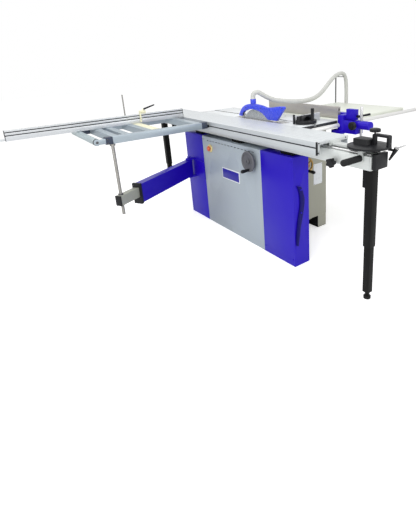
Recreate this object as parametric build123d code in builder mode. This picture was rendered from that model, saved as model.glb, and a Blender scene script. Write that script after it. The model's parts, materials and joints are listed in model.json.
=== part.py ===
from build123d import *
import os
from math import asin, atan2, cos, degrees, hypot, pi, radians, sin, sqrt, tan

# Sliding table saw, millimetres. +X points at the operator's end, the carriage runs along X,
# +Y points at the rip fence side and +Z is up. The origin is on the floor below the saw arbor.

os.makedirs("parts", exist_ok=True)

# Clearances
touch = 0.3
fit = 0.05
slack = 0.5

# Table and cabinet
table_top = 860.0
table_rim = 45.0
table_plate = 16.0
table_x = (-770.0, 500.0)
table_y = (-30.0, 305.0)
wall = 4.0
skid_height = 100.0
skid_width = 90.0
cabinet_x = (-520.0, 310.0)
cabinet_y = (-99.0, 400.0)
case_x = (-731.0, 630.0)
case_front = -225.0
case_top = 720.0
case_sheet = 3.0
cover_joint_left = -438.0
cover_joint_right = 315.0
cover_seam = 1.0

# Guide beam and carriage
beam_x = (-1360.0, 1150.0)
beam_y = (-200.0, -92.0)
beam_z = (742.0, 812.0)
beam_wall = 4.0
beam_cap = 22.0
beam_plate = 10.0
guide_rod_r = 6.0
guide_rod_sunk = 1.0
guide_rod_inset = 20.0
carriage_x = (-1120.0, 880.0)
carriage_y = (-285.0, -35.0)
deck_thick = 18.0
skirt_bottom = 789.0
skirt_thick = 24.0
rear_lip_bottom = 815.0
slot_z = 828.0
slot_mouth = 8.0
slot_lip = 5.0
slot_width = 18.0
slot_depth = 13.0

# Saw unit, as depths below the table surface and distances from the blade plane
blade_r = 200.0
blade_thick = 3.2
blade_show = 75.0
blade_teeth = 48
scoring_r = 40.0
scoring_x = 238.0
arbor_r = 12.0
flange_r = 45.0
flange_thick = 10.0
housing_r = 30.0
pulley_y = (-86.0, -70.0)
arbor_pulley_r = 28.0
motor_pulley_r = 35.0
belt_thick = 4.0
motor_r = 70.0
motor_depth = 430.0
motor_y = (-205.0, -90.0)
lift_plate_y = (-34.0, -26.0)
column_r = 9.0
column_x = (-222.0, 244.0)
key_r = (110.0, 130.0)
key_half_angle = 12.0
rise_up = 20.0
rise_down = 90.0

# Guard and hose
guard_half = 10.0
guard_sheet = 2.0
guard_lift = 11.5
port_x = -35.0
hose_r = 17.0
hose_wall = 3.0
elbow_r = 30.0
elbow_turn = 124.0
elbow_heading = 28.6

# Rip side
extension_x = (-190.0, 500.0)
extension_y = (305.0, 1090.0)
extension_thick = 30.0
rail_x = 522.0
rail_z = 830.0
rail_r = 14.0
rail_y = (40.0, 1290.0)
rip_face = 355.0
rip_thick = 25.0
rip_height = 78.0
rip_x = (-298.0, 462.0)
gauge_slot_y = 95.0
gauge_slot_width = 19.0
gauge_slot_depth = 9.5

# Outrigger and crosscut fence
bar_size = 45.0
frame_x = (-770.0, -200.0)
frame_y = (-1021.0, -302.0)
roller_r = 22.0
roller_y = -1072.0
fence_x = (-632.0, -600.0)
fence_y = (-1500.0, -290.0)
fence_height = 66.0

# Swing arm
hub_x = -620.0
hub_y = -275.0
post_x = -213.0
post_y = -981.0
post_r = 10.0
arm_z = (362.0, 497.0)
arm_width = 60.0
arm_wall = 4.0
inner_z = (408.0, 474.0)
inner_width = 45.0

# Legs and wheels
leg_size = 46.0
leg_y = (-176.0, -130.0)
leg_joint_z = 315.0
leg_right_x = 1111.0
leg_left_x = -1325.0
wheel_r = 71.0
small_wheel_r = 55.0
wheel_thick = 14.0


def block(x, y, z, mode=Mode.ADD):
    """Box between two values on each axis."""
    centre = ((x[0] + x[1]) / 2, (y[0] + y[1]) / 2, (z[0] + z[1]) / 2)
    with Locations(centre):
        Box(x[1] - x[0], y[1] - y[0], z[1] - z[0], mode=mode)


def rod(start, direction, radius, length, mode=Mode.ADD):
    """Round bar that leaves a point in a direction."""
    with Locations(Plane(origin=start, z_dir=direction)):
        Cylinder(radius, length, align=(Align.CENTER, Align.CENTER, Align.MIN), mode=mode)


def prism(plane, points, depth, mode=Mode.ADD, both=False):
    """Straight-sided outline on a plane, pulled out along its normal."""
    with BuildSketch(plane) as outline:
        with BuildLine():
            Polyline(*points, close=True)
        make_face()
    extrude(outline.sketch, amount=depth, both=both, mode=mode)


def save(item, label):
    item.part.label = label
    export_step(item.part, f"parts/{label}.step")


along_x, along_y, along_z = (1, 0, 0), (0, 1, 0), (0, 0, 1)
toward_front, down, toward_left = (0, -1, 0), (0, 0, -1), (-1, 0, 0)

table_under = table_top - table_rim
arbor_z = table_top + blade_show - blade_r
arbor_depth = table_top - arbor_z
motor_z = table_top - motor_depth

# Base frame: two skids with fork room between them, and cross members that tie them
skid_rows = ((-skid_width / 2, skid_width / 2), (cabinet_y[1] - skid_width, cabinet_y[1]))
cross_width = 60.0
cross_set_back = 70.0
with BuildPart() as base_frame:
    for row in skid_rows:
        block(cabinet_x, row, (0, skid_height))
    for end, inward in ((cabinet_x[0], 1), (cabinet_x[1], -1)):
        near = end + inward * cross_set_back
        far = near + inward * cross_width
        block((min(near, far), max(near, far)), (cabinet_y[0], cabinet_y[1]), (skid_height / 2, skid_height))
save(base_frame, "base_frame")

# Cabinet: folded sheet body, open at the front for the saw unit and on top under the table
front_opening_x = (-330.0, 270.0)
front_opening_bottom = 240.0
top_opening_y = table_y[1] - 9.0
beam_relief_y = beam_y[1] + 6.0
spigot_x, spigot_z, spigot_r = -300.0, 260.0, 60.0
branch_x, branch_z = -184.0, 300.0
lift_shaft_y, lift_shaft_z, shaft_r = 165.0, 542.0, 8.0
with BuildPart() as main_cabinet:
    block(cabinet_x, cabinet_y, (skid_height, table_under))
    block(
        (cabinet_x[0] + wall, cabinet_x[1] - wall),
        (cabinet_y[0] + wall, cabinet_y[1] - wall),
        (skid_height + wall, table_under - wall),
        mode=Mode.SUBTRACT,
    )
    block(
        (cabinet_x[0] + wall, cabinet_x[1] - wall),
        (cabinet_y[0] + wall, top_opening_y),
        (table_under - 2 * wall, table_under),
        mode=Mode.SUBTRACT,
    )
    block(cabinet_x, (cabinet_y[0], beam_relief_y), (case_top, table_under), mode=Mode.SUBTRACT)
    block(
        front_opening_x,
        (cabinet_y[0], cabinet_y[0] + wall),
        (front_opening_bottom, case_top),
        mode=Mode.SUBTRACT,
    )
    for hole_x, hole_z, hole_r in ((spigot_x, spigot_z, spigot_r), (branch_x, branch_z, hose_r)):
        rod((hole_x, cabinet_y[1] - 2 * wall, hole_z), along_y, hole_r - hose_wall, 3 * wall, mode=Mode.SUBTRACT)
    rod(
        (cabinet_x[1] - 2 * wall, lift_shaft_y, lift_shaft_z), along_x, shaft_r + fit, 3 * wall, mode=Mode.SUBTRACT
    )
save(main_cabinet, "main_cabinet")

# Front case: three folded covers in front of the cabinet, open at the back
tilt_wheel_x, tilt_wheel_z = 218.0, 631.0
stop_x, stop_z, stop_stem_r = -322.0, 634.0, 11.0
vent_pitch, vent_length, vent_height = 42.0, 26.0, 5.0
vent_count = 15
stick_y, stick_top_z, stick_drop = -176.0, 535.0, 195.0
peg_r, peg_length = 5.0, 16.0


def folded_cover(x):
    """Tray with its open side at the back."""
    block(x, (case_front, cabinet_y[0]), (0, case_top))
    block(
        (x[0] + case_sheet, x[1] - case_sheet),
        (case_front + case_sheet, cabinet_y[0]),
        (case_sheet, case_top - case_sheet),
        mode=Mode.SUBTRACT,
    )


with BuildPart() as case_cover_left:
    folded_cover((case_x[0], cover_joint_left - cover_seam))
save(case_cover_left, "case_cover_left")

centre_x = (cover_joint_left, cover_joint_right)
ring_r, ring_thick = 30.0, 6.0
with BuildPart() as case_cover_centre:
    folded_cover(centre_x)
    rod((tilt_wheel_x, case_front - case_sheet, tilt_wheel_z), along_y, shaft_r + fit, 3 * case_sheet, Mode.SUBTRACT)
    rod((stop_x, case_front - case_sheet, stop_z), along_y, stop_stem_r + slack, 3 * case_sheet, Mode.SUBTRACT)
    with Locations(((centre_x[0] + centre_x[1]) / 2, case_front, case_top - 28.0)):
        with GridLocations(vent_pitch, 1, vent_count, 1):
            Box(vent_length, 3 * case_sheet, vent_height, mode=Mode.SUBTRACT)
save(case_cover_centre, "case_cover_centre")

with BuildPart() as case_cover_right:
    folded_cover((cover_joint_right + cover_seam, case_x[1]))
    for peg_z in (stick_top_z - 20.0, stick_top_z - stick_drop + 25.0):
        rod((case_x[1], stick_y, peg_z), along_x, peg_r, peg_length)
save(case_cover_right, "case_cover_right")

# Stop switch: ring fixed to the centre cover, mushroom button sprung in it
with BuildPart() as stop_housing:
    rod((stop_x, case_front, stop_z), toward_front, ring_r, ring_thick)
    rod((stop_x, case_front + 40.0, stop_z), toward_front, stop_stem_r + slack - fit, 40.0)
    rod((stop_x, case_front + 40.0, stop_z), toward_front, stop_stem_r - 2.0, 60.0, Mode.SUBTRACT)
save(stop_housing, "stop_housing")

stop_travel = 5.0
with BuildPart() as stop_button:
    rod((stop_x, case_front + 25.0, stop_z), toward_front, stop_stem_r - 2.0 - fit, 25.0 + ring_thick + 7.0)
    rod((stop_x, case_front - ring_thick - stop_travel - 1.0, stop_z), toward_front, 20.0, 14.0)
    fillet(stop_button.faces().sort_by(Axis.Y)[0].edges(), 5.0)
save(stop_button, "stop_button")

# Cast iron table: ribbed plate with a rim, an opening for the saw unit and a gauge slot
unit_opening_x = (-246.0, 293.0)
unit_opening_y = (-26.0, 62.0)
insert_thick = 5.0
insert_ledge = 8.0
rib = 12.0
slot_boss = 8.0
with BuildPart() as cast_iron_table:
    block(table_x, table_y, (table_under, table_top))
    inner_x = (table_x[0] + rib, table_x[1] - rib)
    inner_y = (table_y[0] + 4.0, table_y[1] - rib)
    block(inner_x, inner_y, (table_under, table_top - table_plate), mode=Mode.SUBTRACT)
    for rib_x in ((cabinet_x[0], cabinet_x[0] + rib), (-282.0, -262.0), (unit_opening_x[1] + 1.0, cabinet_x[1])):
        block(rib_x, table_y, (table_under, table_top - table_plate))
    block(
        (unit_opening_x[1] + 1.0, table_x[1]),
        (gauge_slot_y - gauge_slot_width / 2 - slot_boss, gauge_slot_y + gauge_slot_width / 2 + slot_boss),
        (table_top - table_plate - slot_boss, table_top - table_plate),
    )
    block(
        (table_x[0], table_x[1]),
        (gauge_slot_y - gauge_slot_width / 2, gauge_slot_y + gauge_slot_width / 2),
        (table_top - gauge_slot_depth, table_top),
        mode=Mode.SUBTRACT,
    )
    block(
        (unit_opening_x[0] + insert_ledge, unit_opening_x[1] - insert_ledge),
        (unit_opening_y[0] + insert_ledge / 2, unit_opening_y[1] - insert_ledge),
        (table_under, table_top),
        mode=Mode.SUBTRACT,
    )
    block(unit_opening_x, unit_opening_y, (table_top - insert_thick, table_top), mode=Mode.SUBTRACT)
    block(
        (unit_opening_x[0], unit_opening_x[1]),
        (table_y[0] + 4.0, unit_opening_y[1]),
        (table_under, table_top - table_plate),
        mode=Mode.SUBTRACT,
    )
save(cast_iron_table, "cast_iron_table")

# Table insert: thin plate with a slot for the blade and the knife, and one for the scoring blade
blade_slot_y = (-5.0, 10.0)
with BuildPart() as table_insert:
    block(
        (unit_opening_x[0] + slack, unit_opening_x[1] - slack),
        (unit_opening_y[0] + slack, unit_opening_y[1] - slack),
        (table_top - insert_thick, table_top),
    )
    blade_half_chord = sqrt(blade_r**2 - (arbor_depth - rise_up) ** 2)
    block(
        (-blade_r - 42.0, blade_half_chord + 6.0),
        blade_slot_y,
        (table_top - 2 * insert_thick, table_top + 1.0),
        mode=Mode.SUBTRACT,
    )
    block(
        (scoring_x - 28.0, scoring_x + 28.0),
        blade_slot_y,
        (table_top - 2 * insert_thick, table_top + 1.0),
        mode=Mode.SUBTRACT,
    )
save(table_insert, "table_insert")

# Extension table: folded steel tray on two angle brackets
bracket_drop = 35.0
bracket_width = 40.0
bracket_rows = (-120.0, 400.0)
with BuildPart() as extension_table:
    tray_z = (table_top - extension_thick, table_top)
    tray_y = (extension_y[0] + cover_seam, extension_y[1])
    block(extension_x, tray_y, tray_z)
    block(
        (extension_x[0] + case_sheet, extension_x[1] - case_sheet),
        (tray_y[0] + case_sheet, tray_y[1] - case_sheet),
        (tray_z[0], tray_z[1] - case_sheet),
        mode=Mode.SUBTRACT,
    )
    for row in bracket_rows:
        block((row, row + bracket_width), tray_y, (tray_z[0], tray_z[1] - case_sheet))
save(extension_table, "extension_table")

with BuildPart() as extension_brackets:
    for row in bracket_rows:
        far_y = extension_y[1] - 60.0
        block((row, row + bracket_width), (extension_y[0], far_y), (tray_z[0] - wall, tray_z[0]))
        near_y = cabinet_y[1] if row < cabinet_x[1] else extension_y[0]
        block((row, row + wall), (near_y, far_y), (tray_z[0] - bracket_drop, tray_z[0] - wall))
    block(
        (bracket_rows[0] + bracket_width, bracket_rows[1]),
        (far_y - bracket_width, far_y),
        (tray_z[0] - wall, tray_z[0]),
    )
save(extension_brackets, "extension_brackets")

# Fence rail: round bar on standoffs along the operator's edge of both tables
standoff_size = 20.0
standoff_rows = (70.0, 270.0, 560.0, 820.0, 1060.0)
with BuildPart() as fence_rail:
    for row in standoff_rows:
        edge = table_x[1] if row < table_y[1] else extension_x[1]
        block(
            (edge, rail_x - rail_r / 2),
            (row - standoff_size / 2, row + standoff_size / 2),
            (rail_z - standoff_size / 2 + 4.0, rail_z + standoff_size / 2),
        )
    rod((rail_x, rail_y[0], rail_z), along_y, rail_r + fit, rail_y[1] - rail_y[0], mode=Mode.SUBTRACT)
    rod((rail_x, rail_y[0], rail_z), along_y, rail_r, rail_y[1] - rail_y[0])
save(fence_rail, "fence_rail")

# Guide beam: hollow aluminium profile with two round rods on top, plates and caps at its ends
rod_rows = (beam_y[0] + guide_rod_inset, beam_y[1] - guide_rod_inset)
rod_z = beam_z[1] + guide_rod_r - guide_rod_sunk
beam_length = beam_x[1] - beam_x[0]
with BuildPart() as guide_beam:
    block(beam_x, beam_y, beam_z)
    mid_y = (beam_y[0] + beam_y[1]) / 2
    for cell in (
        (beam_y[0] + beam_wall, mid_y - beam_wall / 2),
        (mid_y + beam_wall / 2, beam_y[1] - beam_wall),
    ):
        block(beam_x, cell, (beam_z[0] + beam_wall, beam_z[1] - beam_wall), mode=Mode.SUBTRACT)
    for row in rod_rows:
        rod((beam_x[0], row, rod_z), along_x, guide_rod_r + fit, beam_length, mode=Mode.SUBTRACT)
    for row in rod_rows:
        rod((beam_x[0], row, rod_z), along_x, guide_rod_r, beam_length)
save(guide_beam, "guide_beam")

cap_top = rod_z + guide_rod_r + 1.0
with BuildPart() as beam_end_caps:
    for end, outward in ((beam_x[0], -1), (beam_x[1], 1)):
        split = end + outward * beam_plate
        outer = split + outward * beam_cap
        block((min(end, split), max(end, split)), beam_y, (beam_z[0], beam_z[1]))
        block((min(split, outer), max(split, outer)), (beam_y[0] + 9.0, beam_y[1] - 2.0), (beam_z[0] + 5.0, cap_top))
save(beam_end_caps, "beam_end_caps")

# Beam supports: pads on the case and leg tubes under both ends, with inner tubes on rubber feet
leg_wall = 4.0
leg_inner = leg_size - 2 * leg_wall - 4 * fit
leg_overlap = 160.0
foot_height = 40.0
left_foot_lift = 85.0
for_legs = ((leg_left_x, "left"), (leg_right_x, "right"))
pad_x = (-600.0, -60.0, 480.0)
pad_width = 110.0
with BuildPart() as beam_supports:
    for start in pad_x:
        block((start, start + pad_width), (beam_y[0] + 8.0, cabinet_y[0]), (case_top, beam_z[0]))
    for leg_x, side in for_legs:
        outline_x = (leg_x, leg_x + leg_size)
        block(outline_x, leg_y, (leg_joint_z, beam_z[0]))
        block((leg_x - 20.0, leg_x), (leg_y[0] + 6.0, leg_y[1] - 6.0), (beam_z[0] - 105.0, beam_z[0]))
        block(
            (outline_x[0] + leg_wall, outline_x[1] - leg_wall),
            (leg_y[0] + leg_wall, leg_y[1] - leg_wall),
            (leg_joint_z, beam_z[0] - 8.0),
            mode=Mode.SUBTRACT,
        )
save(beam_supports, "beam_supports")

foot_r = 20.0
for leg_x, side in for_legs:
    lift = left_foot_lift if side == "left" else 0.0
    leg_mid = (leg_x + leg_size / 2, (leg_y[0] + leg_y[1]) / 2)
    half = leg_inner / 2
    with BuildPart() as leg_inner_tube:
        block(
            (leg_mid[0] - half, leg_mid[0] + half),
            (leg_mid[1] - half, leg_mid[1] + half),
            (foot_height + lift, leg_joint_z + leg_overlap),
        )
        block(
            (leg_mid[0] - half + 3.0, leg_mid[0] + half - 3.0),
            (leg_mid[1] - half + 3.0, leg_mid[1] + half - 3.0),
            (foot_height + lift + 5.0, leg_joint_z + leg_overlap),
            mode=Mode.SUBTRACT,
        )
        rod((leg_mid[0], leg_mid[1], lift), along_z, foot_r, 14.0)
        rod((leg_mid[0], leg_mid[1], lift + 14.0), along_z, 12.0, foot_height - 14.0)
    save(leg_inner_tube, f"leg_inner_{side}")

# Trunnions: fixed plates with a curved slot centred on the tilt axis, bolted under the table
trunnion_thick = 10.0
trunnion_x = (-263.0 - trunnion_thick, cabinet_x[1] - wall - 1.0 - trunnion_thick)
trunnion_y = (-50.0, 130.0)
trunnion_bottom = table_top - 150.0
slot_start, slot_end = -14.0, 60.0


def arc_band(plane, radii, start, end, depth, mode=Mode.ADD):
    """Ring sector below the tilt axis, angles measured from straight down towards +Y."""
    inner, outer = radii
    a, b = radians(start), radians(end)
    mid = (a + b) / 2
    with BuildSketch(plane) as band:
        with BuildLine():
            ThreePointArc(*[(outer * sin(t), table_top - outer * cos(t)) for t in (a, mid, b)])
            Line(
                (outer * sin(b), table_top - outer * cos(b)),
                (inner * sin(b), table_top - inner * cos(b)),
            )
            ThreePointArc(*[(inner * sin(t), table_top - inner * cos(t)) for t in (b, mid, a)])
            Line(
                (inner * sin(a), table_top - inner * cos(a)),
                (outer * sin(a), table_top - outer * cos(a)),
            )
        make_face()
    extrude(band.sketch, amount=depth, mode=mode)


with BuildPart() as trunnions:
    for plate_x in trunnion_x:
        block((plate_x, plate_x + trunnion_thick), trunnion_y, (trunnion_bottom, table_under))
        groove = (key_r[0] - fit, key_r[1] + fit)
        arc_band(Plane.YZ.offset(plate_x), groove, slot_start, slot_end, trunnion_thick, mode=Mode.SUBTRACT)
save(trunnions, "trunnions")

# Tilt frame: end plates with curved keys in the trunnions, two rails, and the lift columns
plate_thick = 10.0
end_plates = (trunnion_x[0] + trunnion_thick + 1.0, trunnion_x[1] - 1.0 - plate_thick)
column_top = table_top - 190.0
column_bottom = table_top - 440.0
bracket_tall = 18.0
rail_span = (end_plates[0], end_plates[1] + plate_thick)
scoring_arm_y = (-24.0, -10.0)
scoring_z = table_top + 2.0 - scoring_r
with BuildPart() as tilt_frame:
    for plate_x, column, key_x in (
        (end_plates[0], column_x[0], trunnion_x[0]),
        (end_plates[1], column_x[1], end_plates[1]),
    ):
        block((plate_x, plate_x + plate_thick), (-28.0, 28.0), (table_top - 170.0, table_top - key_r[0] + 4.0))
        block((plate_x, plate_x + plate_thick), (-60.0, 60.0), (table_top - 460.0, table_top - 165.0))
        arc_band(
            Plane.YZ.offset(key_x),
            key_r,
            -key_half_angle,
            key_half_angle,
            trunnion_thick + 1.0 + plate_thick,
        )
        reach = (min(plate_x, column - 14.0), max(plate_x + plate_thick, column + 14.0))
        for level in (column_top - bracket_tall, column_bottom):
            block(reach, (lift_plate_y[0] - 11.0, lift_plate_y[1] + 11.0), (level, level + bracket_tall))
        rod((column, sum(lift_plate_y) / 2, column_bottom), along_z, column_r, column_top - column_bottom)
    block(rail_span, (34.0, 58.0), (table_top - 340.0, table_top - 300.0))
    block(rail_span, (-58.0, -42.0), (table_top - 460.0, table_top - 425.0))
    block(
        (scoring_x + 14.0, end_plates[1] + plate_thick),
        scoring_arm_y,
        (table_top - 170.0, table_top - 30.0),
    )
    rod((scoring_x, scoring_arm_y[0], scoring_z), along_y, 14.0, scoring_arm_y[1] - scoring_arm_y[0])
    block((scoring_x, scoring_x + 20.0), scoring_arm_y, (scoring_z - 14.0, scoring_z + 2.0))
    rod((scoring_x, -30.0, scoring_z), along_y, 6.0 + fit, 24.0, mode=Mode.SUBTRACT)
save(tilt_frame, "tilt_frame")

with BuildPart() as scoring_blade:
    rod((scoring_x, -1.6, scoring_z), along_y, scoring_r, 3.2)
    rod((scoring_x, scoring_arm_y[0], scoring_z), along_y, 6.0, 30.0)
    rod((scoring_x, -9.5, scoring_z), along_y, 18.0, 17.0)
save(scoring_blade, "scoring_blade")

# Lift frame: plate on the columns that carries the arbor housing, the motor and the knife
column_y = sum(lift_plate_y) / 2
knife_thick = 2.8
knife_clamp_x = (column_x[0] + 16.0, column_x[0] + 36.0)
clamp_z = (arbor_z - 117.0, arbor_z - 85.0)
sleeve_z = (table_top - 290.0, table_top - 230.0)
motor_shelf = table_top - motor_depth - motor_r - 2.0
with BuildPart() as lift_frame:
    block((column_x[0], column_x[1]), lift_plate_y, sleeve_z)
    block((-60.0, 60.0), lift_plate_y, (motor_shelf - 10.0, arbor_z + housing_r - 5.0))
    for column in column_x:
        rod((column, column_y, sleeve_z[0]), along_z, column_r + 5.0, sleeve_z[1] - sleeve_z[0])
        rod((column, column_y, sleeve_z[0]), along_z, column_r + fit, sleeve_z[1] - sleeve_z[0], Mode.SUBTRACT)
    rod((0, pulley_y[1] + 2.0, arbor_z), along_y, housing_r, -14.0 - pulley_y[1] - 2.0)
    rod((0, pulley_y[0], arbor_z), along_y, arbor_r + fit, 80.0, mode=Mode.SUBTRACT)
    block((-motor_r, motor_r), (motor_y[0] + 15.0, lift_plate_y[1]), (motor_shelf - 10.0, motor_shelf))
    block(knife_clamp_x, (lift_plate_y[0], -knife_thick / 2), clamp_z)
    block(knife_clamp_x, lift_plate_y, (sleeve_z[0], clamp_z[1]))
save(lift_frame, "lift_frame")

with BuildPart() as drive_motor:
    rod((0, motor_y[0], motor_z), along_y, motor_r, motor_y[1] - motor_y[0])
    block((-motor_r + 12.0, motor_r - 12.0), (motor_y[0] + 20.0, motor_y[1] - 15.0), (motor_shelf, motor_z))
    rod((0, motor_y[0] + 40.0, motor_z), along_y, 10.0 + fit, 200.0, mode=Mode.SUBTRACT)
save(drive_motor, "drive_motor")

with BuildPart() as motor_pulley:
    rod((0, motor_y[0] + 41.0, motor_z), along_y, 10.0, pulley_y[1] - motor_y[0] - 41.0)
    rod((0, pulley_y[0], motor_z), along_y, motor_pulley_r, pulley_y[1] - pulley_y[0])
save(motor_pulley, "motor_pulley")

# Arbor: spindle with its pulley, inner and outer flange and nut
with BuildPart() as saw_arbor:
    rod((0, pulley_y[0], arbor_z), along_y, arbor_r, 24.0 - pulley_y[0])
    rod((0, pulley_y[0], arbor_z), along_y, arbor_pulley_r, pulley_y[1] - pulley_y[0])
    rod((0, -blade_thick / 2 - flange_thick, arbor_z), along_y, flange_r, flange_thick)
    rod((0, blade_thick / 2, arbor_z), along_y, flange_r, flange_thick)
    with BuildSketch(Plane.XZ.offset(-blade_thick / 2 - flange_thick)):
        with Locations((0, arbor_z)):
            RegularPolygon(18.0, 6)
    extrude(amount=-12.0)
    rod((0, -blade_thick / 2, arbor_z), along_y, flange_r + 1.0, blade_thick, mode=Mode.SUBTRACT)
    rod((0, -blade_thick / 2, arbor_z), along_y, arbor_r, blade_thick)
save(saw_arbor, "saw_arbor")

# Saw blade: disc with a tooth gullet at every pitch
gullet = 9.0
with BuildPart() as saw_blade:
    with BuildSketch(Plane.XZ.offset(-blade_thick / 2)) as blade_outline:
        with Locations((0, arbor_z)):
            Circle(blade_r)
            Circle(arbor_r + fit, mode=Mode.SUBTRACT)
            with PolarLocations(blade_r - gullet / 3, blade_teeth):
                Rectangle(gullet, gullet / 2, rotation=20.0, mode=Mode.SUBTRACT)
    extrude(amount=blade_thick)
save(saw_blade, "saw_blade")

# Drive belt: flat loop round both pulleys, held clear of them by a running gap
with BuildPart() as drive_belt:
    span = arbor_z - motor_z
    small, large = arbor_pulley_r + touch, motor_pulley_r + touch
    lean = asin((large - small) / span)
    for grow, mode in ((belt_thick, Mode.ADD), (0.0, Mode.SUBTRACT)):
        r_top, r_low = small + grow, large + grow
        top_right = (r_top * cos(lean), arbor_z + r_top * sin(lean))
        low_right = (r_low * cos(lean), motor_z + r_low * sin(lean))
        with BuildSketch(Plane.XZ.offset(-pulley_y[0] - 2.0)):
            with BuildLine():
                Line(low_right, top_right)
                ThreePointArc(top_right, (0, arbor_z + r_top), (-top_right[0], top_right[1]))
                Line((-top_right[0], top_right[1]), (-low_right[0], low_right[1]))
                ThreePointArc((-low_right[0], low_right[1]), (0, motor_z - r_low), low_right)
            make_face()
        extrude(amount=-(pulley_y[1] - pulley_y[0] - 4.0), mode=mode)
save(drive_belt, "drive_belt")

# Riving knife: curved steel plate behind the blade, with a foot in the clamp
knife_inner, knife_outer = blade_r + 5.0, blade_r + 28.0
knife_start, knife_end = 132.0, 207.0
with BuildPart() as riving_knife:
    with BuildSketch(Plane.XZ.offset(-knife_thick / 2)):
        with BuildLine():
            angles = [radians(a) for a in (knife_start, (knife_start + knife_end) / 2, knife_end)]
            outer_arc = [(knife_outer * cos(a), arbor_z + knife_outer * sin(a)) for a in angles]
            inner_arc = [(knife_inner * cos(a), arbor_z + knife_inner * sin(a)) for a in angles]
            ThreePointArc(*outer_arc)
            Line(outer_arc[-1], inner_arc[-1])
            ThreePointArc(*reversed(inner_arc))
            Line(inner_arc[0], outer_arc[0])
        make_face()
    extrude(amount=knife_thick)
save(riving_knife, "riving_knife")

# Blade guard: two cheeks and a closed back edge, arched over the blade, with a hose port
guard_bottom = table_top + guard_lift
guard_back = [
    (-210.0, 880.0),
    (-192.0, 908.0),
    (-169.0, 932.0),
    (-128.0, 955.0),
    (-76.0, 967.0),
    (-26.0, 971.0),
    (22.0, 970.0),
    (68.0, 965.0),
    (110.0, 957.0),
]
guard_tail = [(110.0, 957.0), (150.0, 955.0), (212.0, 963.0), (296.0, 971.0)]
arch_outline = [
    (146.0, guard_bottom - 1.0),
    (130.0, 875.0),
    (108.0, 893.0),
    (76.0, 912.0),
    (30.0, 926.0),
    (-30.0, 933.0),
    (-92.0, 926.0),
    (-145.0, 909.0),
    (-164.0, 894.0),
    (-168.0, guard_bottom - 1.0),
]
cavity_outline = [
    (-200.0, guard_bottom - 1.0),
    (-196.0, 890.0),
    (-150.0, 937.0),
    (-85.0, 960.0),
    (-20.0, 966.0),
    (60.0, 961.0),
    (130.0, 948.0),
    (200.0, 900.0),
    (216.0, guard_bottom - 1.0),
]
port_top = 1005.0
elbow_start = port_top + 17.0
# A rigid elbow turns the port towards the rip side
turn, heading = radians(elbow_turn), radians(elbow_heading)
elbow_reach = elbow_r * (1 - cos(turn))
level_dir = (sin(heading), cos(heading))
elbow_mid = (
    port_x + elbow_r * (1 - cos(turn / 2)) * level_dir[0],
    elbow_r * (1 - cos(turn / 2)) * level_dir[1],
    elbow_start + elbow_r * sin(turn / 2),
)
elbow_end = Vector(
    port_x + elbow_reach * level_dir[0],
    elbow_reach * level_dir[1],
    elbow_start + elbow_r * sin(turn),
)
elbow_out = Vector(sin(turn) * level_dir[0], sin(turn) * level_dir[1], cos(turn))
with BuildPart() as blade_guard:
    with BuildSketch(Plane.XZ):
        with BuildLine():
            Line((-212.0, guard_bottom), guard_back[0])
            Spline(*guard_back)
            Spline(*guard_tail)
            ThreePointArc(guard_tail[-1], (311.0, 966.0), (309.0, 955.0))
            Line((309.0, 955.0), (232.0, guard_bottom))
            Line((232.0, guard_bottom), (-212.0, guard_bottom))
        make_face()
    extrude(amount=guard_half, both=True)
    prism(Plane.XZ, cavity_outline, guard_half - guard_sheet, mode=Mode.SUBTRACT, both=True)
    prism(Plane.XZ, arch_outline, guard_half + 1.0, mode=Mode.SUBTRACT, both=True)
    rod((port_x, 0, 972.0), along_z, hose_r + 4.0, port_top - 972.0)
    rod((port_x, 0, 955.0), along_z, guard_half - guard_sheet, 60.0, mode=Mode.SUBTRACT)
    rod((port_x, 0, 980.0), along_z, hose_r - hose_wall, 40.0, mode=Mode.SUBTRACT)
    with BuildLine():
        Line((port_x, 0, port_top), (port_x, 0, elbow_start))
        ThreePointArc((port_x, 0, elbow_start), elbow_mid, elbow_end)
    with BuildSketch(Plane.XY.offset(port_top)):
        with Locations((port_x, 0)):
            Circle(hose_r)
            Circle(hose_r - hose_wall, mode=Mode.SUBTRACT)
    sweep()
save(blade_guard, "blade_guard")

# Dust hose: from the elbow over the fence to the mast, then down and back to the cabinet
hose_start = elbow_end + elbow_out * touch
branch_length = 40.0
hose_end_y = cabinet_y[1] + wall + branch_length
hose_route = [
    tuple(hose_start),
    tuple(hose_start + elbow_out * 98.0),
    (72.0, 192.0, 977.0),
    (115.0, 278.0, 966.0),
    (128.0, 370.0, 964.0),
    (108.0, 465.0, 968.0),
    (72.0, 560.0, 981.0),
    (30.0, 650.0, 1001.0),
    (-12.0, 738.0, 1030.0),
    (-55.0, 830.0, 1064.0),
    (-95.0, 925.0, 1098.0),
    (-120.0, 1015.0, 1120.0),
    (-134.0, 1090.0, 1126.0),
    (-141.0, 1140.0, 1084.0),
    (-143.0, 1153.0, 985.0),
    (-143.5, 1156.0, 862.0),
    (-146.0, 1151.0, 735.0),
    (-150.0, 1135.0, 610.0),
    (-155.0, 1095.0, 492.0),
    (-161.0, 1025.0, 395.0),
    (-167.0, 930.0, 330.0),
    (-173.0, 820.0, 297.0),
    (-179.0, 705.0, 289.0),
    (-183.0, 610.0, 295.0),
    (branch_x, 530.0, branch_z),
    (branch_x, hose_end_y + touch, branch_z),
]


def bend_radii(points):
    """Largest arc that the two runs at each corner allow."""
    radii = []
    for before, corner, after in zip(points, points[1:], points[2:]):
        run_in = Vector(corner) - Vector(before)
        run_out = Vector(after) - Vector(corner)
        half_turn = radians(run_in.get_angle(run_out)) / 2
        radii.append(0.45 * min(run_in.length, run_out.length) / tan(half_turn))
    return radii


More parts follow.
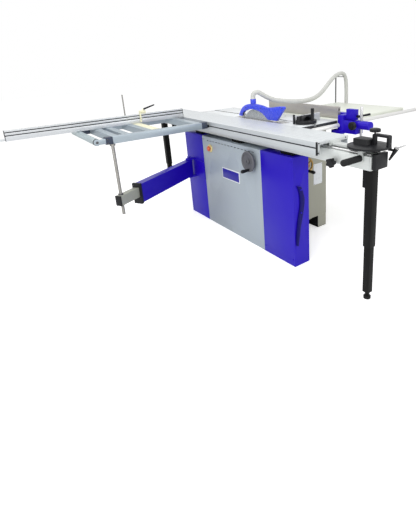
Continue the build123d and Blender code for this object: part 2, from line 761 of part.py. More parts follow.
hose_radii = bend_radii(hose_route)
with BuildPart() as dust_hose:
    with BuildLine() as hose_line:
        FilletPolyline(*hose_route, radius=hose_radii)
    with BuildSketch(Plane(origin=hose_route[0], z_dir=elbow_out)):
        Circle(hose_r)
        Circle(hose_r - hose_wall, mode=Mode.SUBTRACT)
    sweep()
save(dust_hose, "dust_hose")
hose_length = sum(edge.length for edge in hose_line.edges())
hose_section = pi * (hose_r**2 - (hose_r - hose_wall) ** 2)
print("hose length", round(hose_length), "radii", [round(r) for r in hose_radii])
print("hose volume ratio", round(dust_hose.part.volume / (hose_length * hose_section), 4))

# Rear fittings: outlet plate with the main spigot and the hose's spigot, and the cable gland
gland_x, gland_z = 200.0, 180.0
spigot_length = 80.0
outlet_y = cabinet_y[1] + wall
with BuildPart() as rear_fittings:
    block((spigot_x - 85.0, branch_x + 40.0), (cabinet_y[1], outlet_y), (spigot_z - 80.0, spigot_z + 90.0))
    rod((spigot_x, outlet_y, spigot_z), along_y, spigot_r, spigot_length)
    rod((branch_x, outlet_y, branch_z), along_y, hose_r, branch_length)
    rod((spigot_x, cabinet_y[1] - 1.0, spigot_z), along_y, spigot_r - 2.0, spigot_length + 10.0, Mode.SUBTRACT)
    rod((branch_x, cabinet_y[1] - 1.0, branch_z), along_y, hose_r - hose_wall, branch_length + 10.0, Mode.SUBTRACT)
    with BuildSketch(Plane.XZ.offset(-cabinet_y[1])):
        with Locations((gland_x, gland_z)):
            RegularPolygon(18.0, 6)
    extrude(amount=-10.0)
    rod((gland_x, cabinet_y[1] + 10.0, gland_z), along_y, 13.0, 16.0)
    rod((gland_x, cabinet_y[1] - 1.0, gland_z), along_y, 5.0, 40.0, mode=Mode.SUBTRACT)
save(rear_fittings, "rear_fittings")


# Hose mast: thin rod behind the extension table with a cradle for the hose
mast_x, mast_y, mast_r = -228.0, 1104.0, 6.0
cradle_z = 1094.0
foot_z = (780.0, 812.0)
with BuildPart() as hose_mast:
    rod((mast_x, mast_y, foot_z[0] + 10.0), along_z, mast_r, cradle_z - foot_z[0] - 10.0)
    block((mast_x - 15.0, mast_x + 15.0), (mast_y - 14.0, mast_y + 14.0), foot_z)
    block((mast_x + 15.0, bracket_rows[0] + wall), (mast_y - 14.0, mast_y - 8.0), (784.0, 808.0))
    block(
        (bracket_rows[0], bracket_rows[0] + wall),
        (extension_y[1] - 60.0, mast_y - 8.0),
        (tray_z[0] - bracket_drop, 808.0),
    )
    block((mast_x, -118.0), (mast_y - 34.0, mast_y - 18.0), (cradle_z - 6.0, cradle_z))
    block((mast_x - mast_r, mast_x + mast_r), (mast_y - 34.0, mast_y), (cradle_z - 6.0, cradle_z))
save(hose_mast, "hose_mast")

def handwheel(centre, outward, radius, boss_depth, crank):
    """Dished wheel on a shaft, with a crank pin near its rim and a turned grip on the pin."""
    start = Vector(centre) - Vector(outward) * boss_depth
    rod(tuple(start), outward, shaft_r, boss_depth + 4.0)
    rod(centre, outward, radius, wheel_thick)
    face = Vector(centre) + Vector(outward) * (wheel_thick - 6.0)
    rod(tuple(face), outward, radius - 12.0, 7.0, mode=Mode.SUBTRACT)
    rod(centre, outward, 18.0, wheel_thick + 8.0)
    pin = Vector(centre) + Vector(crank)
    rod(tuple(pin), outward, 13.0, wheel_thick)
    start = pin + Vector(outward) * (wheel_thick + touch)
    rod(tuple(start), outward, 10.0, crank_grip_length)
    tip = start + Vector(outward) * (crank_grip_length / 2)
    rod(tuple(tip), outward, 12.0, crank_grip_length / 2)
    rod(tuple(start), outward, 5.0 + fit, crank_grip_length - 3.0, mode=Mode.SUBTRACT)
    rod(tuple(pin), outward, 5.0, wheel_thick + crank_grip_length - 6.0)


crank_grip_length = 62.0


tilt_centre = (tilt_wheel_x, case_front - 22.0, tilt_wheel_z)
with BuildPart() as tilt_handwheel:
    handwheel(tilt_centre, toward_front, wheel_r, 110.0, (10.0, 0, -56.0))
save(tilt_handwheel, "tilt_handwheel")

lift_centre = (cabinet_x[1] + 32.0, lift_shaft_y, lift_shaft_z)
with BuildPart() as lift_handwheel:
    handwheel(lift_centre, along_x, small_wheel_r, 44.0, (0, 4.0, -41.0))
save(lift_handwheel, "lift_handwheel")

# Push stick: curved bar that hangs on two pegs at the end of the case
stick_x = (case_x[1] + 2.0, case_x[1] + 10.0)
with BuildPart() as push_stick:
    with BuildSketch(Plane.YZ.offset(stick_x[0])):
        with BuildLine():
            Spline((-203, 543), (-187, 500), (-180, 453), (-182, 402), (-196, 342), (-206, 275), (-215, 211), (-214, 150))
            Line((-214, 150), (-201, 143))
            Spline((-201, 143), (-191, 203), (-180, 266), (-163, 332), (-150, 392), (-144, 442), (-154, 490), (-170, 532))
            Line((-170, 532), (-203, 543))
        make_face()
    extrude(amount=stick_x[1] - stick_x[0])
    for peg_z in (stick_top_z - 20.0, stick_top_z - stick_drop + 25.0):
        rod((stick_x[0] - 1.0, stick_y, peg_z), along_x, peg_r + slack, 20.0, mode=Mode.SUBTRACT)
save(push_stick, "push_stick")

# Carriage: extruded deck with a slotted front skirt and a short rear lip
deck_z = (table_top - deck_thick, table_top)
groove_count, groove_size = 7, 2.5
groove_pitch = (carriage_y[1] - carriage_y[0]) / (groove_count + 1)
with BuildPart() as carriage_deck:
    block(carriage_x, carriage_y, deck_z)
    block(carriage_x, (carriage_y[0], carriage_y[0] + skirt_thick), (skirt_bottom, deck_z[0]))
    block(carriage_x, (carriage_y[1] - 6.0, carriage_y[1]), (rear_lip_bottom, deck_z[0]))
    mouth = (slot_z - slot_mouth / 2, slot_z + slot_mouth / 2)
    cavity = (slot_z - slot_width / 2, slot_z + slot_width / 2)
    block(carriage_x, (carriage_y[0], carriage_y[0] + slot_lip + 1.0), mouth, mode=Mode.SUBTRACT)
    block(
        carriage_x, (carriage_y[0] + slot_lip, carriage_y[0] + slot_depth), cavity, mode=Mode.SUBTRACT
    )
    hollow_x = (carriage_x[0] - 1.0, carriage_x[1] + 1.0)
    for cell in range(4):
        cell_width = (carriage_y[1] - carriage_y[0] - skirt_thick - 10.0) / 4
        start = carriage_y[0] + skirt_thick + cell * cell_width
        block(hollow_x, (start + 3.0, start + cell_width), (deck_z[0] + 4.0, deck_z[1] - 5.0), Mode.SUBTRACT)
    for line in range(groove_count):
        line_y = carriage_y[0] + groove_pitch * (line + 1)
        block(hollow_x, (line_y, line_y + groove_size), (table_top - 1.0, table_top + 1.0), Mode.SUBTRACT)
save(carriage_deck, "carriage_deck")

end_plate = 4.0
with BuildPart() as carriage_end_plates:
    for end in (carriage_x[0] - end_plate, carriage_x[1]):
        block((end, end + end_plate), carriage_y, deck_z)
        block((end, end + end_plate), (carriage_y[0], carriage_y[0] + skirt_thick), (skirt_bottom, deck_z[0]))
save(carriage_end_plates, "carriage_end_plates")

block_length = 70.0
block_half = 14.0
with BuildPart() as bearing_blocks:
    for start in (-455.0, -155.0, 145.0):
        for row in rod_rows:
            block((start, start + block_length), (row - block_half, row + block_half), (rod_z, deck_z[0]))
            block(
                (start, start + block_length),
                (row - block_half, row - guide_rod_r - 2.0),
                (rod_z - 3.0, deck_z[0]),
            )
            rod((start, row, rod_z), along_x, guide_rod_r + fit, block_length, mode=Mode.SUBTRACT)
save(bearing_blocks, "bearing_blocks")

# Operator's handle unit on the end of the carriage: arms over the beam, round base, arch and grip
unit_x, unit_y, unit_r = 1105.0, -146.0, 106.0
arm_low = cap_top + 3.0
unit_top = 856.0
with BuildPart() as handle_bracket:
    block(
        (carriage_x[1] + end_plate, carriage_x[1] + end_plate + 5.0),
        (beam_y[0] + 10.0, beam_y[1] - 10.0),
        (arm_low, deck_z[0] + 14.0),
    )
    block((carriage_x[1] + end_plate, unit_x + 30.0), (unit_y - 24.0, unit_y + 24.0), (arm_low, arm_low + 12.0))
    block((unit_x - 82.0, unit_x + 5.0), (unit_y - 20.0, unit_y + 46.0), (arm_low, unit_top + 27.0))
    with BuildSketch(Plane.XY.offset(unit_top - 10.0)):
        with Locations((unit_x, unit_y)):
            Circle(unit_r)
    extrude(amount=10.0)
    rod((unit_x, unit_y, arm_low), along_z, 30.0, unit_top - arm_low)
    block((unit_x - 14.0, unit_x + 14.0), (beam_y[0] - 12.0, unit_y), (arm_low, arm_low + 12.0))
    block((unit_x - 14.0, unit_x + 14.0), (beam_y[0] - 12.0, beam_y[0] - 4.0), (784.0, arm_low + 12.0))
save(handle_bracket, "handle_bracket")

arch_x = (1114.0, 1208.0)
arch_y = (-133.0, -107.0)
arch_top = 911.0
arch_bar = 12.0
grip_z, grip_r, grip_length = 800.0, 17.0, 130.0
grip_start = beam_y[0] - 12.0
knob_x, knob_y = arch_x[0] + arch_bar / 2, sum(arch_y) / 2
knob_pin_r, knob_pin_depth = 4.0, 16.0
with BuildPart() as operator_handles:
    block(arch_x, arch_y, (unit_top, arch_top))
    block(
        (arch_x[0] + arch_bar, arch_x[1] - arch_bar),
        (arch_y[0] - 1.0, arch_y[1] + 1.0),
        (unit_top, arch_top - arch_bar),
        mode=Mode.SUBTRACT,
    )
    fillet(operator_handles.edges().filter_by(Axis.Y).group_by(Axis.Z)[-1], 9.0)
    rod((unit_x, grip_start, grip_z), toward_front, grip_r, grip_length)
    fillet(operator_handles.faces().sort_by(Axis.Y)[0].edges(), 6.0)
    rod((knob_x, knob_y, arch_top), down, knob_pin_r + fit, knob_pin_depth, mode=Mode.SUBTRACT)
save(operator_handles, "operator_handles")

with BuildPart() as handle_knob:
    rod((knob_x, knob_y, arch_top - knob_pin_depth + 1.0), along_z, knob_pin_r, knob_pin_depth + 11.0)
    rod((knob_x, knob_y, arch_top + 9.0), along_z, 27.0, 16.0)
    fillet(handle_knob.faces().sort_by(Axis.Z)[-1].edges(), 6.0)
save(handle_knob, "handle_knob")

# Lock knob on the front of the beam, and the clamp lever under the round base
lock_x, lock_z = 934.0, 750.0
with BuildPart() as lock_knob:
    rod((lock_x, beam_y[0] - touch, lock_z), toward_front, 7.0, 22.0)
    with BuildSketch(Plane.XZ.offset(-beam_y[0] + 20.0)):
        with Locations((lock_x, lock_z)):
            Circle(19.0)
            with PolarLocations(18.0, 5):
                Circle(8.0)
    extrude(amount=26.0)
save(lock_knob, "lock_knob")

lever_x, lever_y = 1180.0, -79.0
lever_low = cap_top + 3.0
with BuildPart() as clamp_lever:
    rod((lever_x, lever_y, lever_low), along_z, 9.0, unit_top - 10.0 - touch - lever_low)
    block((lever_x, lever_x + 32.0), (lever_y - 6.0, lever_y + 6.0), (lever_low, lever_low + 9.0))
    with Locations(Plane(origin=(lever_x, lever_y, 779.0), z_dir=(0.5, 0.03, 0.87))):
        Cone(5.0, 12.0, 76.0, align=(Align.CENTER, Align.CENTER, Align.MIN))
    rod((lever_x + 36.0, lever_y + 2.0, 842.0), (0.89, 0.05, 0.44), 3.5, 50.0)
save(clamp_lever, "clamp_lever")

# Outrigger: bar frame keyed into the carriage's slot, with end caps and a support slat
bar_z = (table_top - bar_size, table_top)
cap_length = 44.0
side_rows = ((frame_x[0], frame_x[0] + bar_size), (frame_x[1] - bar_size, frame_x[1]))
bars_y = (frame_y[0] + cap_length, frame_y[1] - cap_length)
cross_rows = (bars_y[0], bars_y[0] + 78.0, -745.0, bars_y[1] - bar_size)
cross_span = (side_rows[0][1], side_rows[1][0])
frame_wall = 3.0
with BuildPart() as outrigger_frame:
    for side in side_rows:
        block(side, bars_y, bar_z)
    for row in cross_rows:
        block(cross_span, (row, row + bar_size), bar_z)
    for side in side_rows:
        hollow = (side[0] + frame_wall, side[1] - frame_wall)
        block(hollow, bars_y, (bar_z[0] + frame_wall, bar_z[1] - frame_wall), mode=Mode.SUBTRACT)
save(outrigger_frame, "outrigger_frame")

key_gap = 0.5
slat_y = (cross_rows[2] + bar_size, cross_rows[2] + bar_size + 58.0)
with BuildPart() as outrigger_caps:
    for side in side_rows:
        block(side, (frame_y[0], bars_y[0]), bar_z)
        block(side, (bars_y[1], frame_y[1]), bar_z)
        mid = (side[0] + side[1]) / 2
        block((mid - 15.0, mid + 15.0), (frame_y[1], carriage_y[0] - key_gap), (slot_z - 9.0, slot_z + 9.0))
        key_z = (slot_z - slot_mouth / 2 + key_gap, slot_z + slot_mouth / 2 - key_gap)
        block((mid - 12.0, mid + 12.0), (frame_y[1], carriage_y[0] + slot_lip + 1.0), key_z)
        head_z = (slot_z - slot_width / 2 + key_gap, slot_z + slot_width / 2 - key_gap)
        head_y = (carriage_y[0] + slot_lip + key_gap, carriage_y[0] + slot_depth - key_gap)
        block((mid - 12.0, mid + 12.0), head_y, head_z)
    block(cross_span, slat_y, (table_top - 14.0, table_top))
save(outrigger_caps, "outrigger_caps")

# Outrigger fittings: roller cheeks and axle, hold-down rod and the fence's pivot bolt
roller_cheek = 8.0
roller_span = (frame_x[0] + roller_cheek, frame_x[1] - roller_cheek)
roller_z = table_top - roller_r
axle_r = 6.0
cheek_r = roller_r - 2.0
hold_x, hold_y = -680.0, cross_rows[2] + bar_size / 2
pivot_x, pivot_y, pivot_r = (fence_x[0] + fence_x[1]) / 2, bars_y[1] - bar_size / 2, 6.0
with BuildPart() as outrigger_fittings:
    for cheek in ((frame_x[0], roller_span[0]), (roller_span[1], frame_x[1])):
        block(cheek, (roller_y, frame_y[0]), (roller_z - cheek_r + 4.0, roller_z + cheek_r - 4.0))
        rod((cheek[0], roller_y, roller_z), along_x, cheek_r, roller_cheek)
    rod((frame_x[0], roller_y, roller_z), along_x, axle_r, frame_x[1] - frame_x[0])
    rod((hold_x, hold_y, table_top), along_z, 5.0, 212.0)
    rod((hold_x, hold_y, table_top), along_z, 12.0, 8.0)
    rod((pivot_x, pivot_y, table_top), along_z, pivot_r, 24.0)
    rod((pivot_x, pivot_y, bar_z[0] - 18.0), along_z, 18.0, 18.0)
save(outrigger_fittings, "outrigger_fittings")

with BuildPart() as outrigger_roller:
    inner_span = (roller_span[0] + touch, roller_span[1] - touch)
    rod((inner_span[0], roller_y, roller_z), along_x, roller_r, inner_span[1] - inner_span[0])
    rod(
        (inner_span[0] + 6.0, roller_y, roller_z),
        along_x,
        roller_r - 3.0,
        inner_span[1] - inner_span[0] - 12.0,
        mode=Mode.SUBTRACT,
    )
    rod((frame_x[0], roller_y, roller_z), along_x, axle_r + fit, frame_x[1] - frame_x[0], mode=Mode.SUBTRACT)
save(outrigger_roller, "outrigger_roller")

# Crosscut fence: slotted profile on the outrigger, with its extension and flip stop
fence_z = (table_top + 1.0, table_top + 1.0 + fence_height)
ext_z = (fence_z[0] + 3.0, fence_z[0] + 15.0)
ext_x = (fence_x[0] + 7.0, fence_x[1] - 7.0)
with BuildPart() as crosscut_fence:
    block(fence_x, fence_y, fence_z)
    block(
        (ext_x[0] - slack, ext_x[1] + slack),
        (fence_y[0], pivot_y - 60.0),
        (ext_z[0] - slack, ext_z[1] + slack),
        mode=Mode.SUBTRACT,
    )
    for level in (fence_z[0] + 34.0, fence_z[1] - 12.0):
        block((fence_x[1] - 4.0, fence_x[1]), fence_y, (level - 3.0, level + 3.0), mode=Mode.SUBTRACT)
        block((fence_x[1] - 10.0, fence_x[1] - 4.0), fence_y, (level - 6.0, level + 6.0), mode=Mode.SUBTRACT)
    rod((pivot_x, pivot_y, table_top), along_z, pivot_r + fit, 30.0, mode=Mode.SUBTRACT)
save(crosscut_fence, "crosscut_fence")

fence_out = 120.0
with BuildPart() as fence_extension:
    block(ext_x, (fence_y[0] - fence_out, fence_y[0] + 460.0), ext_z)
save(fence_extension, "fence_extension")

stop_rows = (-632.0, -592.0)
finger_x = (fence_x[1] + touch, fence_x[1] + 10.0)
with BuildPart() as flip_stop:
    block((fence_x[0] - 6.0, finger_x[0] + 4.0), stop_rows, (fence_z[1] + touch, fence_z[1] + 22.0))
    block((fence_x[0] - 6.0, fence_x[0] - touch), stop_rows, (fence_z[1] - 22.0, fence_z[1] + 22.0))
    rod((pivot_x, stop_rows[1] - 12.0, fence_z[1] + 22.0), along_z, 8.0, 12.0)
    with Locations(
        Plane(origin=(pivot_x, stop_rows[1] - 12.0, fence_z[1] + 30.0), z_dir=(0.12, 0.95, 0.28))
    ):
        Cone(7.0, 5.0, 92.0, align=(Align.CENTER, Align.CENTER, Align.MIN))
    rod((finger_x[0] + 4.0, stop_rows[0], fence_z[1] + 14.0), along_y, 3.0, stop_rows[1] - stop_rows[0])
save(flip_stop, "flip_stop")

with BuildPart() as stop_finger:
    hinge_x, hinge_z = finger_x[0] + 4.0, fence_z[1] + 14.0
    finger_rows = (stop_rows[0] - 10.0, stop_rows[0] - touch)
    block((finger_x[0], finger_x[1]), finger_rows, (fence_z[0] + 5.0, hinge_z + 6.0))
save(stop_finger, "stop_finger")

# Swing arm: hub on the left cover, tube arm, telescoping inner tube and post
arm_dx, arm_dy = post_x - hub_x, post_y - hub_y
arm_length = hypot(arm_dx, arm_dy)
arm_frame = Plane(
    origin=(hub_x, hub_y, 0), x_dir=(arm_dx / arm_length, arm_dy / arm_length, 0), z_dir=(0, 0, 1)
)
pin_r = 11.0
barrel_r = 24.0
lug_thick = 14.0
with BuildPart() as arm_hub:
    plate_z = (arm_z[0] - 6.0, arm_z[1] + 6.0)
    block((case_x[0] + 3.0, cover_joint_left - 3.0), (case_front - 8.0, case_front), plate_z)
    for level in (arm_z[0] - lug_thick - touch, arm_z[1] + touch):
        block((hub_x - barrel_r, hub_x + barrel_r), (hub_y, case_front), (level, level + lug_thick))
        rod((hub_x, hub_y, level), along_z, barrel_r, lug_thick)
    rod((hub_x, hub_y, arm_z[0] - lug_thick - touch - 6.0), along_z, pin_r, arm_z[1] - arm_z[0] + 2 * lug_thick + 14.0)
save(arm_hub, "arm_hub")


def along_arm(start, end, half_width, z, mode=Mode.ADD):
    """Box in the arm's own frame: distances from the hub, half width and heights."""
    with BuildSketch(arm_frame.offset(z[0])) as outline:
        with Locations(((start + end) / 2, 0)):
            Rectangle(end - start, 2 * half_width)
    extrude(outline.sketch, amount=z[1] - z[0], mode=mode)


arm_end = 645.0
collar = 20.0
collar_grow = 6.0
inner_start = 330.0
inner_end = arm_length + 24.0
with BuildPart() as swing_arm:
    along_arm(0.0, arm_end, arm_width / 2, arm_z)
    along_arm(
        barrel_r + 12.0, arm_end, arm_width / 2 - arm_wall, (arm_z[0] + arm_wall, arm_z[1] - arm_wall), Mode.SUBTRACT
    )
    rod((hub_x, hub_y, arm_z[0]), along_z, arm_width / 2, arm_z[1] - arm_z[0])
    rod((hub_x, hub_y, arm_z[0]), along_z, pin_r + fit, arm_z[1] - arm_z[0], mode=Mode.SUBTRACT)
    along_arm(arm_end, arm_end + collar, arm_width / 2 + 3.0, (arm_z[0] - collar_grow, arm_z[1] + collar_grow))
    along_arm(
        arm_end - 60.0, arm_end, arm_width / 2 - arm_wall, (arm_z[0] + arm_wall, arm_z[1] - arm_wall)
    )
    along_arm(
        arm_end - 60.0,
        arm_end + collar,
        inner_width / 2 + touch,
        (inner_z[0] - touch, inner_z[1] + touch),
        mode=Mode.SUBTRACT,
    )
save(swing_arm, "swing_arm")
with BuildPart() as arm_inner_tube:
    along_arm(inner_start, inner_end, inner_width / 2, inner_z)
    along_arm(inner_start, arm_length - 18.0, inner_width / 2 - 3.0, (inner_z[0] + 3.0, inner_z[1] - 3.0), Mode.SUBTRACT)
    rod((post_x, post_y, inner_z[1]), along_z, 16.0, 10.0)
    rod((post_x, post_y, inner_z[0] - 10.0), along_z, post_r + fit, 100.0, mode=Mode.SUBTRACT)
    along_arm(inner_end, inner_end + 6.0, inner_width / 2 + 1.0, (inner_z[0] - 1.0, inner_z[1] + 1.0))
save(arm_inner_tube, "arm_inner_tube")

post_gap = 0.4
with BuildPart() as support_post:
    rod((post_x, post_y, 340.0), along_z, post_r, bar_z[0] - post_gap - 340.0)
    rod((post_x, post_y, bar_z[0] - post_gap - 12.0), along_z, 17.0, 12.0)
save(support_post, "support_post")

# Rip fence carrier: casting round the rail, arm over the table, box, rod, knob and lever
carrier_y = (290.0, 420.0)
carrier_x = (rail_x - 4.0, rail_x + 44.0)
post_hole_x = 683.0
with BuildPart() as rail_carrier:
    block(carrier_x, carrier_y, (778.0, 900.0))
    block((rip_x[1] - 150.0, carrier_x[1]), (rip_face + rip_thick + touch, carrier_y[1]), (866.0, 900.0))
    block((carrier_x[1], 642.0), (318.0, 350.0), (872.0, 940.0))
    block((carrier_x[1], 668.0), (292.0, 368.0), (784.0, 868.0))
    rod((660.0, 330.0, 843.0), along_x, 28.0, 97.0)
    block((478.0, carrier_x[1]), (270.0, 400.0), (778.0, 800.0))
    rod((rail_x, carrier_y[0] - 30.0, rail_z), along_y, rail_r + fit, 200.0, mode=Mode.SUBTRACT)
    block((rail_x - 22.0, rail_x - 3.0), (200.0, 450.0), (rail_z - 16.0, rail_z + 16.0), mode=Mode.SUBTRACT)
    rod((post_hole_x, 330.0, 760.0), along_z, 9.0 + fit, 220.0, mode=Mode.SUBTRACT)
    rod((post_hole_x, 330.0, 772.0), along_z, 9.0, 190.0)
save(rail_carrier, "rail_carrier")

with BuildPart() as carrier_knob:
    rod((658.0, 292.0 - touch, 843.0), toward_front, 9.0, 14.0)
    rod((658.0, 280.0, 843.0), toward_front, 27.0, 22.0)
    fillet(carrier_knob.faces().sort_by(Axis.Y)[0].edges(), 5.0)
save(carrier_knob, "carrier_knob")

with BuildPart() as carrier_lever:
    rod((642.0 + touch, 338.0, 895.0), along_x, 9.0, 18.0)
    with Locations(Plane(origin=(651.0, 338.0, 895.0), z_dir=(0.85, 0.48, 0.2))):
        Cone(5.0, 8.0, 78.0, align=(Align.CENTER, Align.CENTER, Align.MIN))
save(carrier_lever, "carrier_lever")

# Rip fence: tall plate profile beside the carrier's arm
rip_z = (table_top + 3.0, table_top + 3.0 + rip_height)
with BuildPart() as rip_fence:
    block(rip_x, (rip_face, rip_face + rip_thick), rip_z)
    for level in (rip_z[0] + 14.0, rip_z[0] + 48.0):
        block(rip_x, (rip_face + 6.0, rip_face + rip_thick - 6.0), (level, level + 18.0), mode=Mode.SUBTRACT)
save(rip_fence, "rip_fence")

# Mitre gauge: bar in the table's slot, half-round head with its fence, and a handle
gauge_x = 400.0
gauge_bar_x = (230.0, 480.0)
gauge_pin_r = 6.0
gauge_r = 80.0
bar_clear = 0.5
with BuildPart() as gauge_bar:
    block(
        gauge_bar_x,
        (gauge_slot_y - gauge_slot_width / 2 + bar_clear, gauge_slot_y + gauge_slot_width / 2 - bar_clear),
        (table_top - gauge_slot_depth + bar_clear, table_top),
    )
    rod((gauge_x + 14.0, gauge_slot_y, table_top), along_z, gauge_pin_r, 12.0)
save(gauge_bar, "gauge_bar")

gauge_fence_y = (20.0, 255.0)
gauge_fence_z = (table_top + 2.0, table_top + 52.0)
with BuildPart() as gauge_head:
    block((gauge_x - 24.0, gauge_x - 12.0), gauge_fence_y, gauge_fence_z)
    block((gauge_x - 26.0, gauge_x - 10.0), (gauge_fence_y[0] - 6.0, gauge_fence_y[0]), (table_top + 1.0, table_top + 63.0))
    block((gauge_x - 12.0, gauge_x), (gauge_fence_y[0] + 16.0, gauge_slot_y + gauge_r), (table_top + 2.0, table_top + 50.0))
    with BuildSketch(Plane.XY.offset(table_top + touch)):
        with Locations((gauge_x, gauge_slot_y)):
            Circle(gauge_r)
            with Locations((-gauge_r / 2 - 6.0, 0)):
                Rectangle(gauge_r + 12.0, 3 * gauge_r, mode=Mode.SUBTRACT)
    extrude(amount=20.0)
    block((gauge_x, gauge_x + 7.0), (gauge_slot_y - gauge_r + 2.0, gauge_slot_y + gauge_r - 2.0), (table_top + touch, table_top + 30.0))
    with BuildSketch(Plane.YZ.offset(gauge_x)):
        with Locations((gauge_slot_y, table_top + 12.0)):
            Circle(42.0)
            Circle(30.0, mode=Mode.SUBTRACT)
            with Locations((0, -30.0)):
                Rectangle(100.0, 60.0, mode=Mode.SUBTRACT)
    extrude(amount=24.0)
    rod((gauge_x + 14.0, gauge_slot_y, table_top), along_z, gauge_pin_r + fit, 14.0, mode=Mode.SUBTRACT)
    rod((gauge_x + 44.0, gauge_slot_y + 30.0, table_top + 4.0), along_z, 11.0, 94.0)
    fillet(gauge_head.faces().sort_by(Axis.Z)[-1].edges(), 4.0)
save(gauge_head, "gauge_head")
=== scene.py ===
import json
from math import cos, radians, sin

import bpy
from mathutils import Matrix, Vector

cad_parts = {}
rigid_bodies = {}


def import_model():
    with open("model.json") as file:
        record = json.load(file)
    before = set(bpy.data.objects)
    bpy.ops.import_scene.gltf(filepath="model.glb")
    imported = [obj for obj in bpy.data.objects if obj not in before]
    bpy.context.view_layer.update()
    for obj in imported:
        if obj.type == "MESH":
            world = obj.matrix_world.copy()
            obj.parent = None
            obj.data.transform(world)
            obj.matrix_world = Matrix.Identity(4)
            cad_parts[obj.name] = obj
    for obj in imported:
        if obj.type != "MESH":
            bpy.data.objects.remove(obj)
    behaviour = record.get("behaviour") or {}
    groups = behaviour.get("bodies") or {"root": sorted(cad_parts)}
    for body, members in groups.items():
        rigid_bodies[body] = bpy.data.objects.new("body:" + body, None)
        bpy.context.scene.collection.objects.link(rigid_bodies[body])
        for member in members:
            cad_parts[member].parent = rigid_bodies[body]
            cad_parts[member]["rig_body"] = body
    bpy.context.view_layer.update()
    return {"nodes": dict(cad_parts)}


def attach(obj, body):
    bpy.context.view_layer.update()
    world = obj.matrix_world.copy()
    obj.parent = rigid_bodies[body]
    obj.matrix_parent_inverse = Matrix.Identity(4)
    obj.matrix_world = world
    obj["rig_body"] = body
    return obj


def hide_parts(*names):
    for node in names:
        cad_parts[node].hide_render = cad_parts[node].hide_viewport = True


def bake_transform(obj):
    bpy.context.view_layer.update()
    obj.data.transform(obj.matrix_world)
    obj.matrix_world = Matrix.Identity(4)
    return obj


bl_info = {
    "name": "Sliding Table Saw",
    "version": (1, 0, 0),
    "blender": (4, 5, 0),
    "location": "3D View > Sidebar > Table Saw",
    "description": "Dresses the sliding table saw in its paints, metals and plastics",
    "category": "Object",
}

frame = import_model()

# Points of the dust hose's route, in metres, from the guard's elbow to the cabinet's outlet
HOSE_ROUTE = [
    (-0.0125, 0.0413, 1.0467),
    (0.0264, 0.1126, 0.9919),
    (0.072, 0.192, 0.977),
    (0.115, 0.278, 0.966),
    (0.128, 0.37, 0.964),
    (0.108, 0.465, 0.968),
    (0.072, 0.56, 0.981),
    (0.03, 0.65, 1.001),
    (-0.012, 0.738, 1.03),
    (-0.055, 0.83, 1.064),
    (-0.095, 0.925, 1.098),
    (-0.12, 1.015, 1.12),
    (-0.134, 1.09, 1.126),
    (-0.141, 1.14, 1.084),
    (-0.143, 1.153, 0.985),
    (-0.1435, 1.156, 0.862),
    (-0.146, 1.151, 0.735),
    (-0.15, 1.135, 0.61),
    (-0.155, 1.095, 0.492),
    (-0.161, 1.025, 0.395),
    (-0.167, 0.93, 0.33),
    (-0.173, 0.82, 0.297),
    (-0.179, 0.705, 0.289),
    (-0.183, 0.61, 0.295),
    (-0.184, 0.53, 0.3),
    (-0.184, 0.4443, 0.3),
]

# Camera of the photograph: its place in metres, and its yaw, pitch and roll in degrees
CAMERA_PLACE = (2.261, -1.688, 1.291)
CAMERA_TURNS = (52.21, 17.43, -2.64)
# The photograph's size, focal length and optical centre, in its pixels
PHOTO_WIDTH, PHOTO_HEIGHT = 416, 520
FOCAL_LENGTH = 386.1
OPTICAL_CENTRE = (266.8, 178.3)
SENSOR_WIDTH = 36

# Height of the blade's arbor, in metres
ARBOR_HEIGHT = 0.735

# Front face of the sheet covers, in millimetres, with the screw heads just sunk into it
COVER_FACE = -224.9


def srgb(red, green, blue):
    """Scene colour of a paint chip given in 8-bit values."""
    chip = [value / 255 for value in (red, green, blue)]
    return tuple(v / 12.92 if v <= 0.04045 else ((v + 0.055) / 1.055) ** 2.4 for v in chip)


def colour_property(name, description, chip):
    return bpy.props.FloatVectorProperty(
        name=name, description=description, subtype="COLOR", size=3, min=0, max=1, default=srgb(*chip)
    )


def length_property(name, description, metres):
    return bpy.props.FloatProperty(
        name=name, description=description, default=metres, min=0, unit="LENGTH", subtype="DISTANCE"
    )


class SawFinishSettings(bpy.types.PropertyGroup):
    """Paints and plastics of the saw."""

    case_blue: colour_property("Case blue", "Enamel on the side covers, arm and fence carrier", (36, 12, 180))
    panel_silver: colour_property("Panel silver", "Enamel on the middle cover", (166, 176, 184))
    cabinet_grey: colour_property("Cabinet grey", "Enamel on the cabinet", (160, 160, 146))
    # On the base this black is painted shade on the skids' front and back sides
    leg_black: colour_property("Leg black", "Enamel on the legs and the base", (14, 14, 14))
    tray_white: colour_property("Tray white", "Enamel on the extension table", (226, 230, 218))
    guard_blue: colour_property("Guard blue", "Plastic of the blade guard", (44, 66, 222))
    alloy_pale: colour_property("Pale alloy", "Anodised skin of the carriage and fences", (212, 216, 218))
    iron_grey: colour_property("Iron grey", "Ground top of the cast table", (226, 230, 232))
    hose_grey: colour_property("Hose grey", "Plastic of the dust hose", (198, 199, 194))
    stop_red: colour_property("Stop red", "Mushroom of the stop switch", (214, 86, 38))


class SawSizeSettings(bpy.types.PropertyGroup):
    """Sizes of the details that the scene adds."""

    hose_diameter: length_property("Hose diameter", "Outside diameter of the dust hose", 0.034)
    wheel_rim: length_property("Wheel rim", "Thickness of the handwheel's rim", 0.018)
    screw_head: length_property("Screw head", "Radius of the cover screws' heads", 0.006)


def finish_settings():
    return bpy.context.scene.saw_finish


def size_settings():
    return bpy.context.scene.saw_sizes


# Materials


